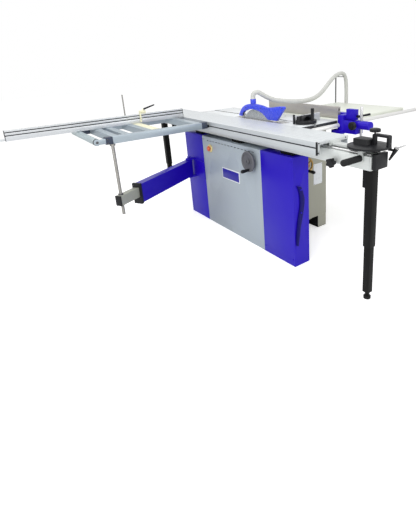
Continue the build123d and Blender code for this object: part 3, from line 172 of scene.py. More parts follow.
class Finish:
    """A node material that grows from its shader backwards."""

    def __init__(self, name, colour, roughness, metallic=0.0):
        self.material = bpy.data.materials.new(name)
        self.material.use_nodes = True
        self.nodes = self.material.node_tree.nodes
        self.links = self.material.node_tree.links
        self.shader = self.nodes["Principled BSDF"]
        self.colour = (*colour, 1.0)
        self.shader.inputs["Base Color"].default_value = self.colour
        self.shader.inputs["Roughness"].default_value = roughness
        self.shader.inputs["Metallic"].default_value = metallic
        self.place = self.nodes.new("ShaderNodeTexCoord")
        self.height = None

    def node(self, kind, **values):
        made = self.nodes.new(kind)
        for key, value in values.items():
            setattr(made, key, value)
        return made

    def mapped(self, scale, turn=(0, 0, 0)):
        """Object coordinates stretched along the axes."""
        mapping = self.node("ShaderNodeMapping")
        mapping.inputs["Scale"].default_value = scale
        mapping.inputs["Rotation"].default_value = turn
        self.links.new(self.place.outputs["Object"], mapping.inputs["Vector"])
        return mapping.outputs["Vector"]

    def noise(self, vector, scale, detail=3.0, rough=0.55):
        made = self.node("ShaderNodeTexNoise")
        made.inputs["Scale"].default_value = scale
        made.inputs["Detail"].default_value = detail
        made.inputs["Roughness"].default_value = rough
        self.links.new(vector, made.inputs["Vector"])
        return made.outputs["Fac"]

    def ranged(self, value, low, high, start=0.3, end=0.7):
        made = self.node("ShaderNodeMapRange")
        made.inputs["From Min"].default_value = start
        made.inputs["From Max"].default_value = end
        made.inputs["To Min"].default_value = low
        made.inputs["To Max"].default_value = high
        self.links.new(value, made.inputs["Value"])
        return made.outputs["Result"]

    def drift(self, amount, scale, stretch=(1, 1, 1)):
        """Slow change of brightness over the surface."""
        value = self.ranged(self.noise(self.mapped(stretch), scale), 1 - amount, 1 + amount * 0.6)
        tone = self.node("ShaderNodeHueSaturation")
        tone.inputs["Color"].default_value = self.colour
        self.links.new(value, tone.inputs["Value"])
        self.tone = tone.outputs["Color"]
        self.links.new(self.tone, self.shader.inputs["Base Color"])
        return self

    def stain(self, colour, amount, scale, stretch=(1, 1, 1), start=0.52, end=0.72):
        """Patches of another colour over what is there."""
        share = self.ranged(self.noise(self.mapped(stretch), scale, detail=6.0), 0.0, amount, start, end)
        return self.tone_from(share, colour)

    def tone_from(self, share, colour):
        """Another colour where the share is high."""
        blend = self.node("ShaderNodeMix", data_type="RGBA")
        self.links.new(share, blend.inputs[0])
        self.links.new(self.tone, blend.inputs[6])
        blend.inputs[7].default_value = (*colour, 1.0)
        self.tone = blend.outputs[2]
        self.links.new(self.tone, self.shader.inputs["Base Color"])
        return self

    def wear(self, low, high, scale, stretch=(1, 1, 1)):
        """Roughness that changes over the surface."""
        value = self.ranged(self.noise(self.mapped(stretch), scale, detail=5.0), low, high)
        self.links.new(value, self.shader.inputs["Roughness"])
        return self

    def relief(self, value, strength, distance):
        """Adds a height to the surface."""
        bump = self.node("ShaderNodeBump")
        bump.inputs["Strength"].default_value = strength
        bump.inputs["Distance"].default_value = distance
        self.links.new(value, bump.inputs["Height"])
        if self.height is not None:
            self.links.new(self.height, bump.inputs["Normal"])
        self.height = bump.outputs["Normal"]
        self.links.new(self.height, self.shader.inputs["Normal"])
        return self

    def grain(self, scale, strength, distance, stretch=(1, 1, 1)):
        return self.relief(self.noise(self.mapped(stretch), scale, detail=4.0), strength, distance)

    def ridges(self, scale, strength, distance, direction="Z", profile="SIN"):
        wave = self.node("ShaderNodeTexWave", bands_direction=direction, wave_profile=profile)
        wave.inputs["Scale"].default_value = scale
        self.links.new(self.place.outputs["Object"], wave.inputs["Vector"])
        return self.relief(wave.outputs["Fac"], strength, distance)


def enamel(name, colour, roughness=0.32, peel=0.05, gloss=0.3, coat=0.1):
    """Sprayed enamel: a slight orange peel, handling marks and a thin clear skin."""
    made = Finish(name, colour, roughness)
    made.drift(0.03, 2.0).wear(roughness - 0.03, roughness + 0.05, 9.0)
    made.grain(420.0, peel, 0.0002)
    made.shader.inputs["Specular IOR Level"].default_value = gloss
    made.shader.inputs["Coat Weight"].default_value = coat
    made.shader.inputs["Coat Roughness"].default_value = 0.18
    return made.material


def drawn_alloy(name, colour, stretch, roughness=0.4, metallic=0.55):
    """Anodised extrusion with fine draw lines along its length."""
    made = Finish(name, colour, roughness, metallic)
    made.drift(0.035, 5.0, stretch).wear(roughness - 0.08, roughness + 0.08, 60.0, stretch)
    made.grain(240.0, 0.1, 0.0004, stretch)
    return made.material


def bare_steel(name, colour, roughness=0.3, stretch=(1, 1, 1), scale=90.0):
    """Bare steel with brushed lines and a little tarnish."""
    made = Finish(name, colour, roughness, 0.9)
    made.drift(0.1, 14.0).wear(roughness - 0.1, roughness + 0.14, scale, stretch)
    made.grain(scale * 3, 0.12, 0.0003, stretch)
    return made.material


def moulded(name, colour, roughness=0.5, grain=0.25, gloss=0.3):
    """Moulded plastic with a fine leathery grain."""
    made = Finish(name, colour, roughness)
    made.shader.inputs["Specular IOR Level"].default_value = gloss
    made.drift(0.08, 20.0).wear(roughness - 0.08, roughness + 0.08, 30.0)
    made.grain(700.0, grain, 0.0004)
    return made.material


def cast_metal(name, colour, roughness=0.6, metallic=0.4):
    """Painted or raw casting with a pebbled skin."""
    made = Finish(name, colour, roughness, metallic)
    made.drift(0.12, 8.0).wear(roughness - 0.1, roughness + 0.12, 40.0)
    made.grain(320.0, 0.4, 0.0008)
    return made.material


def make_materials():
    """Every finish on the saw, by name."""
    paint = finish_settings()
    kit = {}
    kit["case_blue"] = enamel("case_blue", paint.case_blue, 0.34, 0.05, 0.2, 0.06)
    kit["panel_silver"] = enamel("panel_silver", paint.panel_silver, 0.36)
    kit["cabinet_grey"] = enamel("cabinet_grey", paint.cabinet_grey, 0.42)
    kit["leg_black"] = enamel("leg_black", paint.leg_black, 0.5, 0.15, 0.15, 0.0)
    kit["tray_white"] = enamel("tray_white", paint.tray_white, 0.4)
    kit["carriage_alloy"] = drawn_alloy("carriage_alloy", paint.alloy_pale, (1, 30, 30), 0.42, 0.35)
    # Painted shade: a darker copy of the carriage's alloy for its front skirt, which falls in shade
    kit["skirt_alloy_painted_shade"] = drawn_alloy("skirt_alloy_painted_shade", srgb(190, 195, 198), (1, 30, 30), 0.42, 0.35)
    kit["frame_alloy"] = drawn_alloy("frame_alloy", srgb(166, 178, 186), (30, 1, 30), 0.38, 0.45)
    kit["fence_alloy"] = drawn_alloy("fence_alloy", srgb(206, 209, 212), (30, 1, 30), 0.36, 0.45)
    kit["rip_alloy"] = drawn_alloy("rip_alloy", srgb(176, 172, 166), (1, 30, 30), 0.34, 0.55)
    kit["bracket_alloy"] = drawn_alloy("bracket_alloy", srgb(208, 212, 210), (1, 30, 30), 0.45, 0.4)
    kit["roller_alloy"] = drawn_alloy("roller_alloy", srgb(176, 190, 194), (1, 30, 30), 0.36, 0.5)
    kit["stick_navy"] = moulded("stick_navy", srgb(10, 5, 100), 0.45, 0.15, 0.15)
    kit["black_plastic"] = moulded("black_plastic", srgb(24, 25, 28), 0.45, 0.25, 0.25)
    kit["slate_plastic"] = moulded("slate_plastic", srgb(60, 68, 84), 0.45)
    kit["cream_plastic"] = moulded("cream_plastic", srgb(238, 235, 205), 0.45)
    kit["ring_yellow"] = moulded("ring_yellow", srgb(232, 214, 150), 0.45)
    kit["rubber"] = moulded("rubber", srgb(24, 24, 25), 0.75, 0.5)
    kit["rail_alloy"] = drawn_alloy("rail_alloy", srgb(222, 222, 220), (30, 1, 30), 0.34, 0.25)
    kit["smoked_plastic"] = moulded("smoked_plastic", srgb(104, 108, 104), 0.3, 0.1)
    kit["badge_blue"] = moulded("badge_blue", srgb(44, 40, 150), 0.35, 0.1)
    kit["slot_shadow"] = moulded("slot_shadow", srgb(34, 36, 42), 0.7, 0.2)
    # Dark paint on the cast table's sides and the rail's back, dark enough to stand as painted shade for the
    # deep gap between table and rail
    kit["dark_paint_and_gap_shade"] = cast_metal("dark_paint_and_gap_shade", srgb(44, 45, 48), 0.6, 0.1)
    kit["bright_steel"] = bare_steel("bright_steel", srgb(190, 190, 190), 0.26)
    kit["rail_steel"] = bare_steel("rail_steel", srgb(200, 200, 202), 0.2, (40, 1, 40))
    kit["galvanised"] = drawn_alloy("galvanised", srgb(176, 178, 166), (1, 1, 1), 0.5, 0.3)
    kit["dark_steel"] = bare_steel("dark_steel", srgb(96, 96, 98), 0.4)
    kit["machine_iron"] = cast_metal("machine_iron", srgb(84, 86, 88), 0.6)
    kit["motor_grey"] = cast_metal("motor_grey", srgb(120, 124, 128), 0.55, 0.2)
    kit["wheel_grey"] = cast_metal("wheel_grey", srgb(92, 93, 98), 0.5, 0.15)

    iron = Finish("ground_iron", paint.iron_grey, 0.4, 0.2)
    iron.drift(0.06, 5.0).stain(srgb(140, 132, 118), 0.35, 9.0).wear(0.26, 0.46, 20.0)
    iron.grain(300.0, 0.16, 0.0003, (1, 14, 1))
    kit["ground_iron"] = iron.material

    blade = Finish("blade_steel", srgb(186, 188, 190), 0.24, 0.95)
    blade.drift(0.06, 12.0).wear(0.16, 0.36, 30.0)
    rings = blade.node("ShaderNodeTexWave", wave_type="RINGS", rings_direction="Y", wave_profile="SAW")
    rings.inputs["Scale"].default_value = 260.0
    rings.inputs["Distortion"].default_value = 2.0
    centring = blade.node("ShaderNodeMapping", vector_type="POINT")
    centring.inputs["Location"].default_value = (0, 0, -ARBOR_HEIGHT)
    blade.links.new(blade.place.outputs["Object"], centring.inputs["Vector"])
    blade.links.new(centring.outputs["Vector"], rings.inputs["Vector"])
    blade.relief(rings.outputs["Fac"], 0.12, 0.0003)
    kit["blade_steel"] = blade.material

    brass = Finish("wheel_brass", srgb(176, 142, 84), 0.3, 0.85)
    brass.drift(0.12, 25.0).stain(srgb(96, 70, 40), 0.5, 30.0).wear(0.22, 0.42, 50.0)
    kit["wheel_brass"] = brass.material

    guard = Finish("guard_blue", paint.guard_blue, 0.28)
    guard.drift(0.05, 12.0).wear(0.22, 0.36, 40.0).grain(180.0, 0.06, 0.0004)
    guard.shader.inputs["Coat Weight"].default_value = 0.4
    guard.shader.inputs["Coat Roughness"].default_value = 0.12
    kit["guard_blue"] = guard.material

    hose = Finish("hose_grey", paint.hose_grey, 0.46)
    hose.drift(0.06, 16.0).wear(0.38, 0.55, 30.0).grain(220.0, 0.12, 0.0005)
    kit["hose_grey"] = hose.material

    stop = Finish("stop_red", paint.stop_red, 0.3)
    stop.drift(0.06, 40.0).wear(0.24, 0.38, 60.0).grain(500.0, 0.08, 0.0002)
    stop.shader.inputs["Coat Weight"].default_value = 0.5
    kit["stop_red"] = stop.material

    thread = Finish("threaded_steel", srgb(150, 148, 144), 0.34, 0.9)
    thread.drift(0.1, 20.0).wear(0.26, 0.5, 60.0)
    thread.ridges(62.0, 0.9, 0.0012, "Z", "TRI")
    kit["threaded_steel"] = thread.material

    plate = Finish("plate_white", srgb(226, 230, 232), 0.3)
    plate.drift(0.03, 20.0).grain(400.0, 0.05, 0.0002).wear(0.24, 0.4, 40.0)
    kit["plate_white"] = plate.material

    rule = Finish("rule_strip", srgb(214, 216, 212), 0.4, 0.2)
    rule.drift(0.03, 20.0)
    marks = rule.node("ShaderNodeTexWave", bands_direction="Y", wave_profile="SAW")
    marks.inputs["Scale"].default_value = 31.8
    rule.links.new(rule.place.outputs["Object"], marks.inputs["Vector"])
    rule.tone_from(rule.ranged(marks.outputs["Fac"], 0.0, 1.0, 0.86, 0.9), srgb(40, 42, 46))
    rule.grain(300.0, 0.05, 0.0002)
    kit["rule_strip"] = rule.material
    return kit


kit = {}


# Modelling steps


def clear_selection():
    if bpy.context.mode != "OBJECT":
        bpy.ops.object.mode_set(mode="OBJECT")
    bpy.ops.object.select_all(action="DESELECT")


def settle(name, body, finish, stands_for=(), angle=35, outward=True):
    """Names the active piece, puts its place in its mesh, smooths it and hangs it on its body."""
    piece = bpy.context.object
    if bpy.context.mode != "OBJECT":
        bpy.ops.object.mode_set(mode="OBJECT")
    bpy.ops.object.transform_apply(location=True, rotation=True, scale=True)
    if outward:
        bpy.ops.object.mode_set(mode="EDIT")
        bpy.ops.mesh.select_all(action="SELECT")
        bpy.ops.mesh.remove_doubles(threshold=0.00001)
        bpy.ops.mesh.normals_make_consistent(inside=False)
        bpy.ops.object.mode_set(mode="OBJECT")
    bpy.ops.object.shade_smooth_by_angle(angle=radians(angle))
    piece.name = name
    piece.data.name = name
    piece.data.materials.clear()
    piece.data.materials.append(kit[finish])
    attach(piece, body)
    if stands_for:
        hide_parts(*stands_for)
    return piece


def apply_modifiers():
    for modifier in list(bpy.context.object.modifiers):
        bpy.ops.object.modifier_apply(modifier=modifier.name)


def round_edges(width, segments=2, angle=40):
    """Bevel on every edge sharper than the angle."""
    bevel = bpy.context.object.modifiers.new("Eased edges", "BEVEL")
    bevel.width = width
    bevel.segments = segments
    bevel.limit_method = "ANGLE"
    bevel.angle_limit = radians(angle)
    bevel.use_clamp_overlap = True
    apply_modifiers()


def slab(low, high, edge=0.001, segments=2):
    """Block between two corners with rounded edges."""
    clear_selection()
    centre = [(a + b) / 2 for a, b in zip(low, high)]
    bpy.ops.mesh.primitive_cube_add(size=1, location=centre)
    bpy.ops.object.mode_set(mode="EDIT")
    bpy.ops.mesh.select_all(action="SELECT")
    bpy.ops.transform.resize(value=[b - a for a, b in zip(low, high)], center_override=centre)
    bpy.ops.object.mode_set(mode="OBJECT")
    round_edges(edge, segments)


def turn(base, axis, rings, sides=40):
    """Lathe work: a disc at the base, drawn out ring by ring along the axis."""
    clear_selection()
    axis = Vector(axis).normalized()
    height, radius = rings[0]
    bpy.ops.mesh.primitive_circle_add(
        vertices=sides,
        radius=radius,
        fill_type="NGON",
        location=Vector(base) + axis * height,
        rotation=axis.to_track_quat("Z", "Y").to_euler(),
    )
    bpy.ops.object.transform_apply(location=True, rotation=True, scale=True)
    bpy.ops.object.mode_set(mode="EDIT")
    bpy.ops.mesh.select_all(action="SELECT")
    for next_height, next_radius in rings[1:]:
        bpy.ops.mesh.extrude_region_move(
            TRANSFORM_OT_translate={"value": axis * (next_height - height)}
        )
        grow = next_radius / radius
        bpy.ops.transform.resize(
            value=(grow, grow, grow), center_override=Vector(base) + axis * next_height
        )
        height, radius = next_height, next_radius
    bpy.ops.object.mode_set(mode="OBJECT")


def pipe(points, radius, closed=False, smooth=True, ends=True, resolution=6):
    """Round bar bent through the points."""
    clear_selection()
    curve = bpy.data.curves.new("pipe", "CURVE")
    curve.dimensions = "3D"
    curve.bevel_depth = radius
    curve.bevel_resolution = resolution
    curve.use_fill_caps = ends
    spline = curve.splines.new("BEZIER")
    spline.bezier_points.add(len(points) - 1)
    for knot, place in zip(spline.bezier_points, points):
        knot.co = place
        knot.handle_left_type = knot.handle_right_type = "AUTO" if smooth else "VECTOR"
    spline.use_cyclic_u = closed
    made = bpy.data.objects.new("pipe", curve)
    bpy.context.collection.objects.link(made)
    bpy.context.view_layer.objects.active = made
    made.select_set(True)
    bpy.ops.object.convert(target="MESH")


def join_last(known):
    """Joins every object whose name isn't among the known ones into one piece."""
    clear_selection()
    made = [o for o in bpy.context.scene.objects if o.name not in known]
    for item in made:
        item.select_set(True)
    bpy.context.view_layer.objects.active = made[0]
    if len(made) > 1:
        bpy.ops.object.join()


def names():
    """Names of the objects made so far."""
    return {o.name for o in bpy.context.scene.objects}


def copy_node(node):
    """Merged copy of a CAD node's mesh, ready to be worked on."""
    clear_selection()
    source = frame["nodes"][node]
    made = source.copy()
    made.data = source.data.copy()
    for key in list(made.keys()):
        del made[key]
    made.parent = None
    made.matrix_world = Matrix.Identity(4)
    bpy.context.collection.objects.link(made)
    made.hide_render = made.hide_viewport = False
    made.select_set(True)
    bpy.context.view_layer.objects.active = made
    bpy.ops.object.mode_set(mode="EDIT")
    bpy.ops.mesh.select_all(action="SELECT")
    bpy.ops.mesh.remove_doubles(threshold=0.00002)
    bpy.ops.mesh.dissolve_limited(angle_limit=radians(1.0))
    bpy.ops.object.mode_set(mode="OBJECT")
    return made


def body_of_node(node):
    return frame["nodes"][node]["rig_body"]


def ease_node(node, finish, width, segments=2, angle=40):
    """Replaces a CAD node by a copy of it with rounded edges."""
    copy_node(node)
    round_edges(width, segments, angle)
    settle(node + "_eased", body_of_node(node), finish, (node,), outward=False)


def tint(finish, test):
    """Gives the faces of the active piece that pass the test another finish."""
    piece = bpy.context.object
    piece.data.materials.append(kit[finish])
    last = len(piece.data.materials) - 1
    for face in piece.data.polygons:
        if test(face.center * 1000, face.normal):
            face.material_index = last


def keep(test):
    """Deletes the faces of the active piece that fail the test."""
    piece = bpy.context.object
    bpy.ops.object.mode_set(mode="EDIT")
    bpy.ops.mesh.select_mode(type="FACE")
    bpy.ops.mesh.select_all(action="DESELECT")
    bpy.ops.object.mode_set(mode="OBJECT")
    for face in piece.data.polygons:
        face.select = not test(face.center * 1000)
    bpy.ops.object.mode_set(mode="EDIT")
    bpy.ops.mesh.delete(type="FACE")
    bpy.ops.mesh.select_mode(type="VERT")
    bpy.ops.object.mode_set(mode="OBJECT")


def mm(*values):
    """Place or size given in millimetres."""
    return tuple(value / 1000 for value in values)


def torus(centre, axis, ring, section, sides=64, around=16):
    clear_selection()
    bpy.ops.mesh.primitive_torus_add(
        location=centre,
        rotation=Vector(axis).to_track_quat("Z", "Y").to_euler(),
        major_radius=ring,
        minor_radius=section,
        major_segments=sides,
        minor_segments=around,
    )


def screw(name, body, place, axis, radius, finish="dark_steel"):
    """Domed screw head with a recess."""
    before = names()
    sunk = 0.001
    dome = ((0.35, 1.0), (0.62, 0.82), (0.7, 0.5), (0.7, 0.46), (0.2, 0.42))
    turn(place, axis, [(-sunk, radius)] + [(radius * high, radius * wide) for high, wide in dome], 18)
    join_last(before)
    settle(name, body, finish)


def paint_node(node, finish):
    """Gives a CAD node another finish."""
    target = frame["nodes"][node]
    target.data.materials.clear()
    target.data.materials.append(kit[finish])


class PieceOperator:
    """Shared settings of the operators that make pieces."""

    bl_options = {"REGISTER", "UNDO"}

    def execute(self, context):
        self.make(context)
        return {"FINISHED"}


class SAW_OT_stage(PieceOperator, bpy.types.Operator):
    """Camera at the photograph's place, pale floor, lamps and world"""

    bl_idname = "saw.stage"
    bl_label = "Set the stage"

    def make(self, context):
        scene = context.scene
        scene.view_settings.view_transform = "Standard"
        camera = bpy.data.objects.new("camera", bpy.data.cameras.new("camera"))
        scene.collection.objects.link(camera)
        yaw, pitch, roll = (radians(turned) for turned in CAMERA_TURNS)
        look = Vector((-sin(yaw) * cos(pitch), cos(yaw) * cos(pitch), -sin(pitch)))
        right = Vector((cos(yaw), sin(yaw), 0))
        above = right.cross(look)
        side = right * cos(roll) + above * sin(roll)
        top = above * cos(roll) - right * sin(roll)
        turned = Matrix((side, top, -look)).transposed().to_4x4()
        camera.matrix_world = Matrix.Translation(CAMERA_PLACE) @ turned
        camera.data.sensor_fit = "HORIZONTAL"
        camera.data.sensor_width = SENSOR_WIDTH
        camera.data.lens = SENSOR_WIDTH * FOCAL_LENGTH / PHOTO_WIDTH
        camera.data.shift_x = (PHOTO_WIDTH / 2 - OPTICAL_CENTRE[0]) / PHOTO_WIDTH
        camera.data.shift_y = (OPTICAL_CENTRE[1] - PHOTO_HEIGHT / 2) / PHOTO_WIDTH
        camera.data.clip_end = 60
        scene.camera = camera

        clear_selection()
        bpy.ops.mesh.primitive_plane_add(size=30, location=(-3, 3, 0))
        floor = context.object
        floor.name = "floor"
        surface = bpy.data.materials.new("pale_floor")
        surface.use_nodes = True
        nodes, links = surface.node_tree.nodes, surface.node_tree.links
        shader = nodes["Principled BSDF"]
        shader.inputs["Base Color"].default_value = (0.9, 0.9, 0.9, 1)
        shader.inputs["Roughness"].default_value = 0.9
        path = nodes.new("ShaderNodeLightPath")
        glow = nodes.new("ShaderNodeMath")
        glow.operation = "MULTIPLY"
        glow.inputs[1].default_value = 0.45
        links.new(path.outputs["Is Camera Ray"], glow.inputs[0])
        shader.inputs["Emission Color"].default_value = (1, 1, 1, 1)
        links.new(glow.outputs[0], shader.inputs["Emission Strength"])
        floor.data.materials.append(surface)

        world = bpy.data.worlds.new("studio")
        world.use_nodes = True
        scene.world = world
        nodes, links = world.node_tree.nodes, world.node_tree.links
        sky = nodes["Background"]
        sky.inputs["Color"].default_value = (1.0, 1.0, 1.0, 1)
        path = nodes.new("ShaderNodeLightPath")
        seen = nodes.new("ShaderNodeMath")
        seen.operation = "MAXIMUM"
        links.new(path.outputs["Is Camera Ray"], seen.inputs[0])
        links.new(path.outputs["Is Glossy Ray"], seen.inputs[1])
        level = nodes.new("ShaderNodeMapRange")
        level.inputs["To Min"].default_value = 0.62
        level.inputs["To Max"].default_value = 1.0
        links.new(seen.outputs[0], level.inputs["Value"])
        links.new(level.outputs["Result"], sky.inputs["Strength"])
        for name, place, size, power in (
            ("key_lamp", (3.2, -3.4, 3.6), 2.4, 95),
            ("front_lamp", (0.2, -4.6, 1.9), 2.6, 26),
            ("top_lamp", (-0.4, -0.8, 4.4), 2.6, 55),
            ("end_lamp", (4.2, 1.6, 2.2), 2.2, 40),
        ):
            lamp = bpy.data.objects.new(name, bpy.data.lights.new(name, "AREA"))
            lamp.data.energy = power
            lamp.data.size = size
            scene.collection.objects.link(lamp)
            aim = Vector((0, -0.2, 0.5)) - Vector(place)
            lamp.matrix_world = Matrix.Translation(place) @ aim.to_track_quat("-Z", "Y").to_matrix().to_4x4()


class SAW_OT_dust_hose(PieceOperator, bpy.types.Operator):
    """Dust hose from the guard over the mast to the back of the cabinet"""

    bl_idname = "saw.dust_hose"
    bl_label = "Hang the dust hose"

    def make(self, context):
        clear_selection()
        curve = bpy.data.curves.new("dust_hose_line", "CURVE")
        curve.dimensions = "3D"
        spline = curve.splines.new("NURBS")
        spline.points.add(len(HOSE_ROUTE) - 1)
        for knot, place in zip(spline.points, HOSE_ROUTE):
            knot.co = (*place, 1)
        spline.order_u = 3
        spline.use_endpoint_u = True
        spline.resolution_u = 12
        hose = bpy.data.objects.new("dust_hose_line", curve)
        context.collection.objects.link(hose)
        line = bpy.data.meshes.new_from_object(hose)
        bpy.data.meshes.remove(line)
        curve.bevel_depth = size_settings().hose_diameter / 2
        curve.bevel_resolution = 8
        curve.use_fill_caps = True
        curve.materials.append(kit["hose_grey"])
        context.view_layer.objects.active = hose
        hose.select_set(True)
        bpy.ops.object.convert(target="MESH")
        hose = context.object
        for face in hose.data.polygons:
            face.use_smooth = True
        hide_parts("dust_hose")
        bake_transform(hose)


PLAIN_NODES = {
    "trunnions": "machine_iron",
    "tilt_frame": "machine_iron",
    "lift_frame": "machine_iron",
    "drive_motor": "motor_grey",
    "motor_pulley": "dark_steel",
    "drive_belt": "rubber",
    "saw_arbor": "bright_steel",
    "saw_blade": "blade_steel",
    "scoring_blade": "blade_steel",
    "riving_knife": "bright_steel",
    "bearing_blocks": "dark_steel",
    "gauge_bar": "bright_steel",
    "support_post": "threaded_steel",
    "lift_handwheel": "wheel_brass",
    "tilt_handwheel": "wheel_grey",
    "operator_handles": "black_plastic",
    "outrigger_roller": "frame_alloy",
    "stop_button": "stop_red",
    "dust_hose": "hose_grey",
}

ARM_HUB = (-620.0, -275.0)
ARM_WAY = (0.4994, -0.8664)


def along_arm(place):
    """Distance from the arm's hinge along the arm, in millimetres."""
    return (place.x - ARM_HUB[0]) * ARM_WAY[0] + (place.y - ARM_HUB[1]) * ARM_WAY[1]


# Node: finish, edge width, and the parts of it with a finish of their own
EASED_NODES = {
    # The base's front- and back-facing sides take the black as painted shade
    "base_frame": ("cabinet_grey", 0.003, ("leg_black", lambda at, up: abs(up.y) > 0.5)),
    "main_cabinet": ("cabinet_grey", 0.0015),
    "case_cover_left": ("case_blue", 0.0012),
    "case_cover_centre": ("panel_silver", 0.0012),
    "case_cover_right": ("case_blue", 0.0012),
    "stop_housing": ("ring_yellow", 0.0015),
    # The cast table's sides below its ground top: dark paint, with painted shade for the gap in front of them
    "cast_iron_table": ("ground_iron", 0.0015, ("dark_paint_and_gap_shade", lambda at, up: at.z < 857 and up.z < 0.5)),
    "table_insert": ("bright_steel", 0.0006),
    "extension_table": ("tray_white", 0.0012),
    "extension_brackets": ("leg_black", 0.001),
    # The rail's back part next to the table: painted shade for the gap between table and rail
    "fence_rail": ("rail_alloy", 0.001, ("dark_paint_and_gap_shade", lambda at, up: at.x < 507.5)),
    "guide_beam": ("bracket_alloy", 0.001, ("bright_steel", lambda at, up: at.z > 812.4)),
    "beam_end_caps": ("black_plastic", 0.002, ("bracket_alloy", lambda at, up: -1370.5 < at.x < 1160.2)),
    "beam_supports": ("leg_black", 0.0015),
    "leg_inner_left": ("leg_black", 0.0015, ("rubber", lambda at, up: at.z < 99.5)),
    "leg_inner_right": ("leg_black", 0.0015, ("rubber", lambda at, up: at.z < 14.5)),
    # The carriage's front skirt takes the darker copy of its alloy as painted shade
    "carriage_deck": ("carriage_alloy", 0.0008, ("skirt_alloy_painted_shade", lambda at, up: up.y < -0.5)),
    "carriage_end_plates": ("carriage_alloy", 0.0012),
    "handle_bracket": ("black_plastic", 0.002, ("bracket_alloy", lambda at, up: at.x < 980 or at.z < 839.6)),
    "handle_knob": ("black_plastic", 0.001),
    "lock_knob": ("black_plastic", 0.0015),
    "clamp_lever": ("black_plastic", 0.0006, ("bright_steel", lambda at, up: at.x > 1216 and at.z > 838)),
    "outrigger_frame": ("frame_alloy", 0.0015),
    "outrigger_caps": (
        "slate_plastic",
        0.003,
        ("cream_plastic", lambda at, up: -724 < at.x < -246 and at.z > 840),
        ("black_plastic", lambda at, up: at.y > -302.5),
    ),
    "outrigger_fittings": (
        "frame_alloy",
        0.0008,
        ("threaded_steel", lambda at, up: at.z > 862 and at.y > -1000),
        ("black_plastic", lambda at, up: at.z < 816 and at.y > -1000),
    ),
    "crosscut_fence": (
        "fence_alloy",
        0.0012,
        ("slot_shadow", lambda at, up: -611 < at.x < -600.5 and at.z > 885),
    ),
    "fence_extension": ("fence_alloy", 0.001),
    "flip_stop": (
        "cream_plastic",
        0.0015,
        ("black_plastic", lambda at, up: at.y > -603 and at.z > 946),
        ("bright_steel", lambda at, up: at.x > -587),
    ),
    "stop_finger": ("cream_plastic", 0.001),
    "arm_hub": ("case_blue", 0.0015),
    "swing_arm": ("case_blue", 0.002, ("black_plastic", lambda at, up: along_arm(at) > 644.5)),
    "arm_inner_tube": (
        "galvanised",
        0.0012,
        ("black_plastic", lambda at, up: along_arm(at) > 838.0),
        ("dark_steel", lambda at, up: at.z > 475),
    ),
    "rail_carrier": (
        "case_blue",
        0.003,
        ("rail_steel", lambda at, up: abs(at.x - 683) < 9.3 and abs(at.y - 330) < 9.3),
    ),
    "carrier_knob": ("black_plastic", 0.0015),
    "carrier_lever": ("black_plastic", 0.001),
    "rip_fence": ("rip_alloy", 0.001),
    "gauge_head": ("black_plastic", 0.0012, ("fence_alloy", lambda at, up: at.x < 388.5 and at.y > 20.5)),
    "rear_fittings": ("black_plastic", 0.001),
    "hose_mast": ("dark_steel", 0.0008),
    "push_stick": ("stick_navy", 0.001),
    "blade_guard": (
        "guard_blue",
        0.0015,
        ("hose_grey", lambda at, up: at.z > 1004.0),
        ("smoked_plastic", lambda at, up: at.x < -150 and at.z < 902),
    ),
}


class SAW_OT_cad_finishes(PieceOperator, bpy.types.Operator):
    """Paints, metals and rounded edges on the parts that keep their built shape"""

    bl_idname = "saw.cad_finishes"
    bl_label = "Finish the built parts"

    def make(self, context):
        for node, finish in PLAIN_NODES.items():
            paint_node(node, finish)
        for node, (finish, width, *tints) in EASED_NODES.items():
            paint_node(node, finish)
            ease_node(node, finish, width)
            for other, test in tints:
                tint(other, test)


def wheel_parts(name, centre, outward, radius, crank, rim, finish, dished=False):
    """Handwheel: round rim, bent spokes or a dished disc, hub with a screw, crank pin and turned grip."""
    body = body_of_node(name)
    outward, centre = Vector(outward), Vector(centre)
    crank = Vector(crank)
    before = names()
    torus(centre + outward * 0.009, outward, radius - rim, rim, 72, 18)
    level = centre + outward * 0.004
    arm = crank.normalized()
    if dished:
        turn(
            centre,
            outward,
            [(0.004, 0.012), (0.0, 0.02), (0.0005, 0.04), (0.006, radius - rim), (0.012, radius - rim)]
            + [(0.0095, 0.042), (0.0065, 0.026), (0.009, 0.012)],
            64,
        )
    for turned in () if dished else (0, 120, 240):
        way = Matrix.Rotation(radians(turned), 3, outward) @ arm
        start, end = level + way * 0.012 - outward * 0.002, centre + way * (radius - rim) + outward * 0.009
        middle = (start + end) / 2 - outward * 0.002
        pipe([start, middle, end], 0.0062, resolution=4)
    turn(
        centre - outward * 0.012,
        outward,
        [(0, 0.013), (0.008, 0.0165), (0.02, 0.0185), (0.028, 0.0175), (0.031, 0.0135)]
        + [(0.031, 0.009), (0.027, 0.0085), (0.027, 0.0015)],
    )
    turn(centre - outward * 0.04, outward, [(0, 0.0078), (0.032, 0.0078), (0.033, 0.005)], 24)
    turn(
        centre + crank,
        outward,
        [(0.001, 0.011), (0.0135, 0.0118), (0.0142, 0.0108), (0.0142, 0.0062), (0.02, 0.006)],
        28,
    )
    join_last(before)
    settle(name + "_wheel", body, finish, (name,))
    turn(
        centre + crank,
        outward,
        [(0.0146, 0.0085), (0.016, 0.0105), (0.024, 0.0098), (0.04, 0.0104), (0.058, 0.0122)]
        + [(0.068, 0.0122), (0.0745, 0.0096), (0.0765, 0.005), (0.0765, 0.001)],
        32,
    )
    settle(name + "_grip", body, "black_plastic")


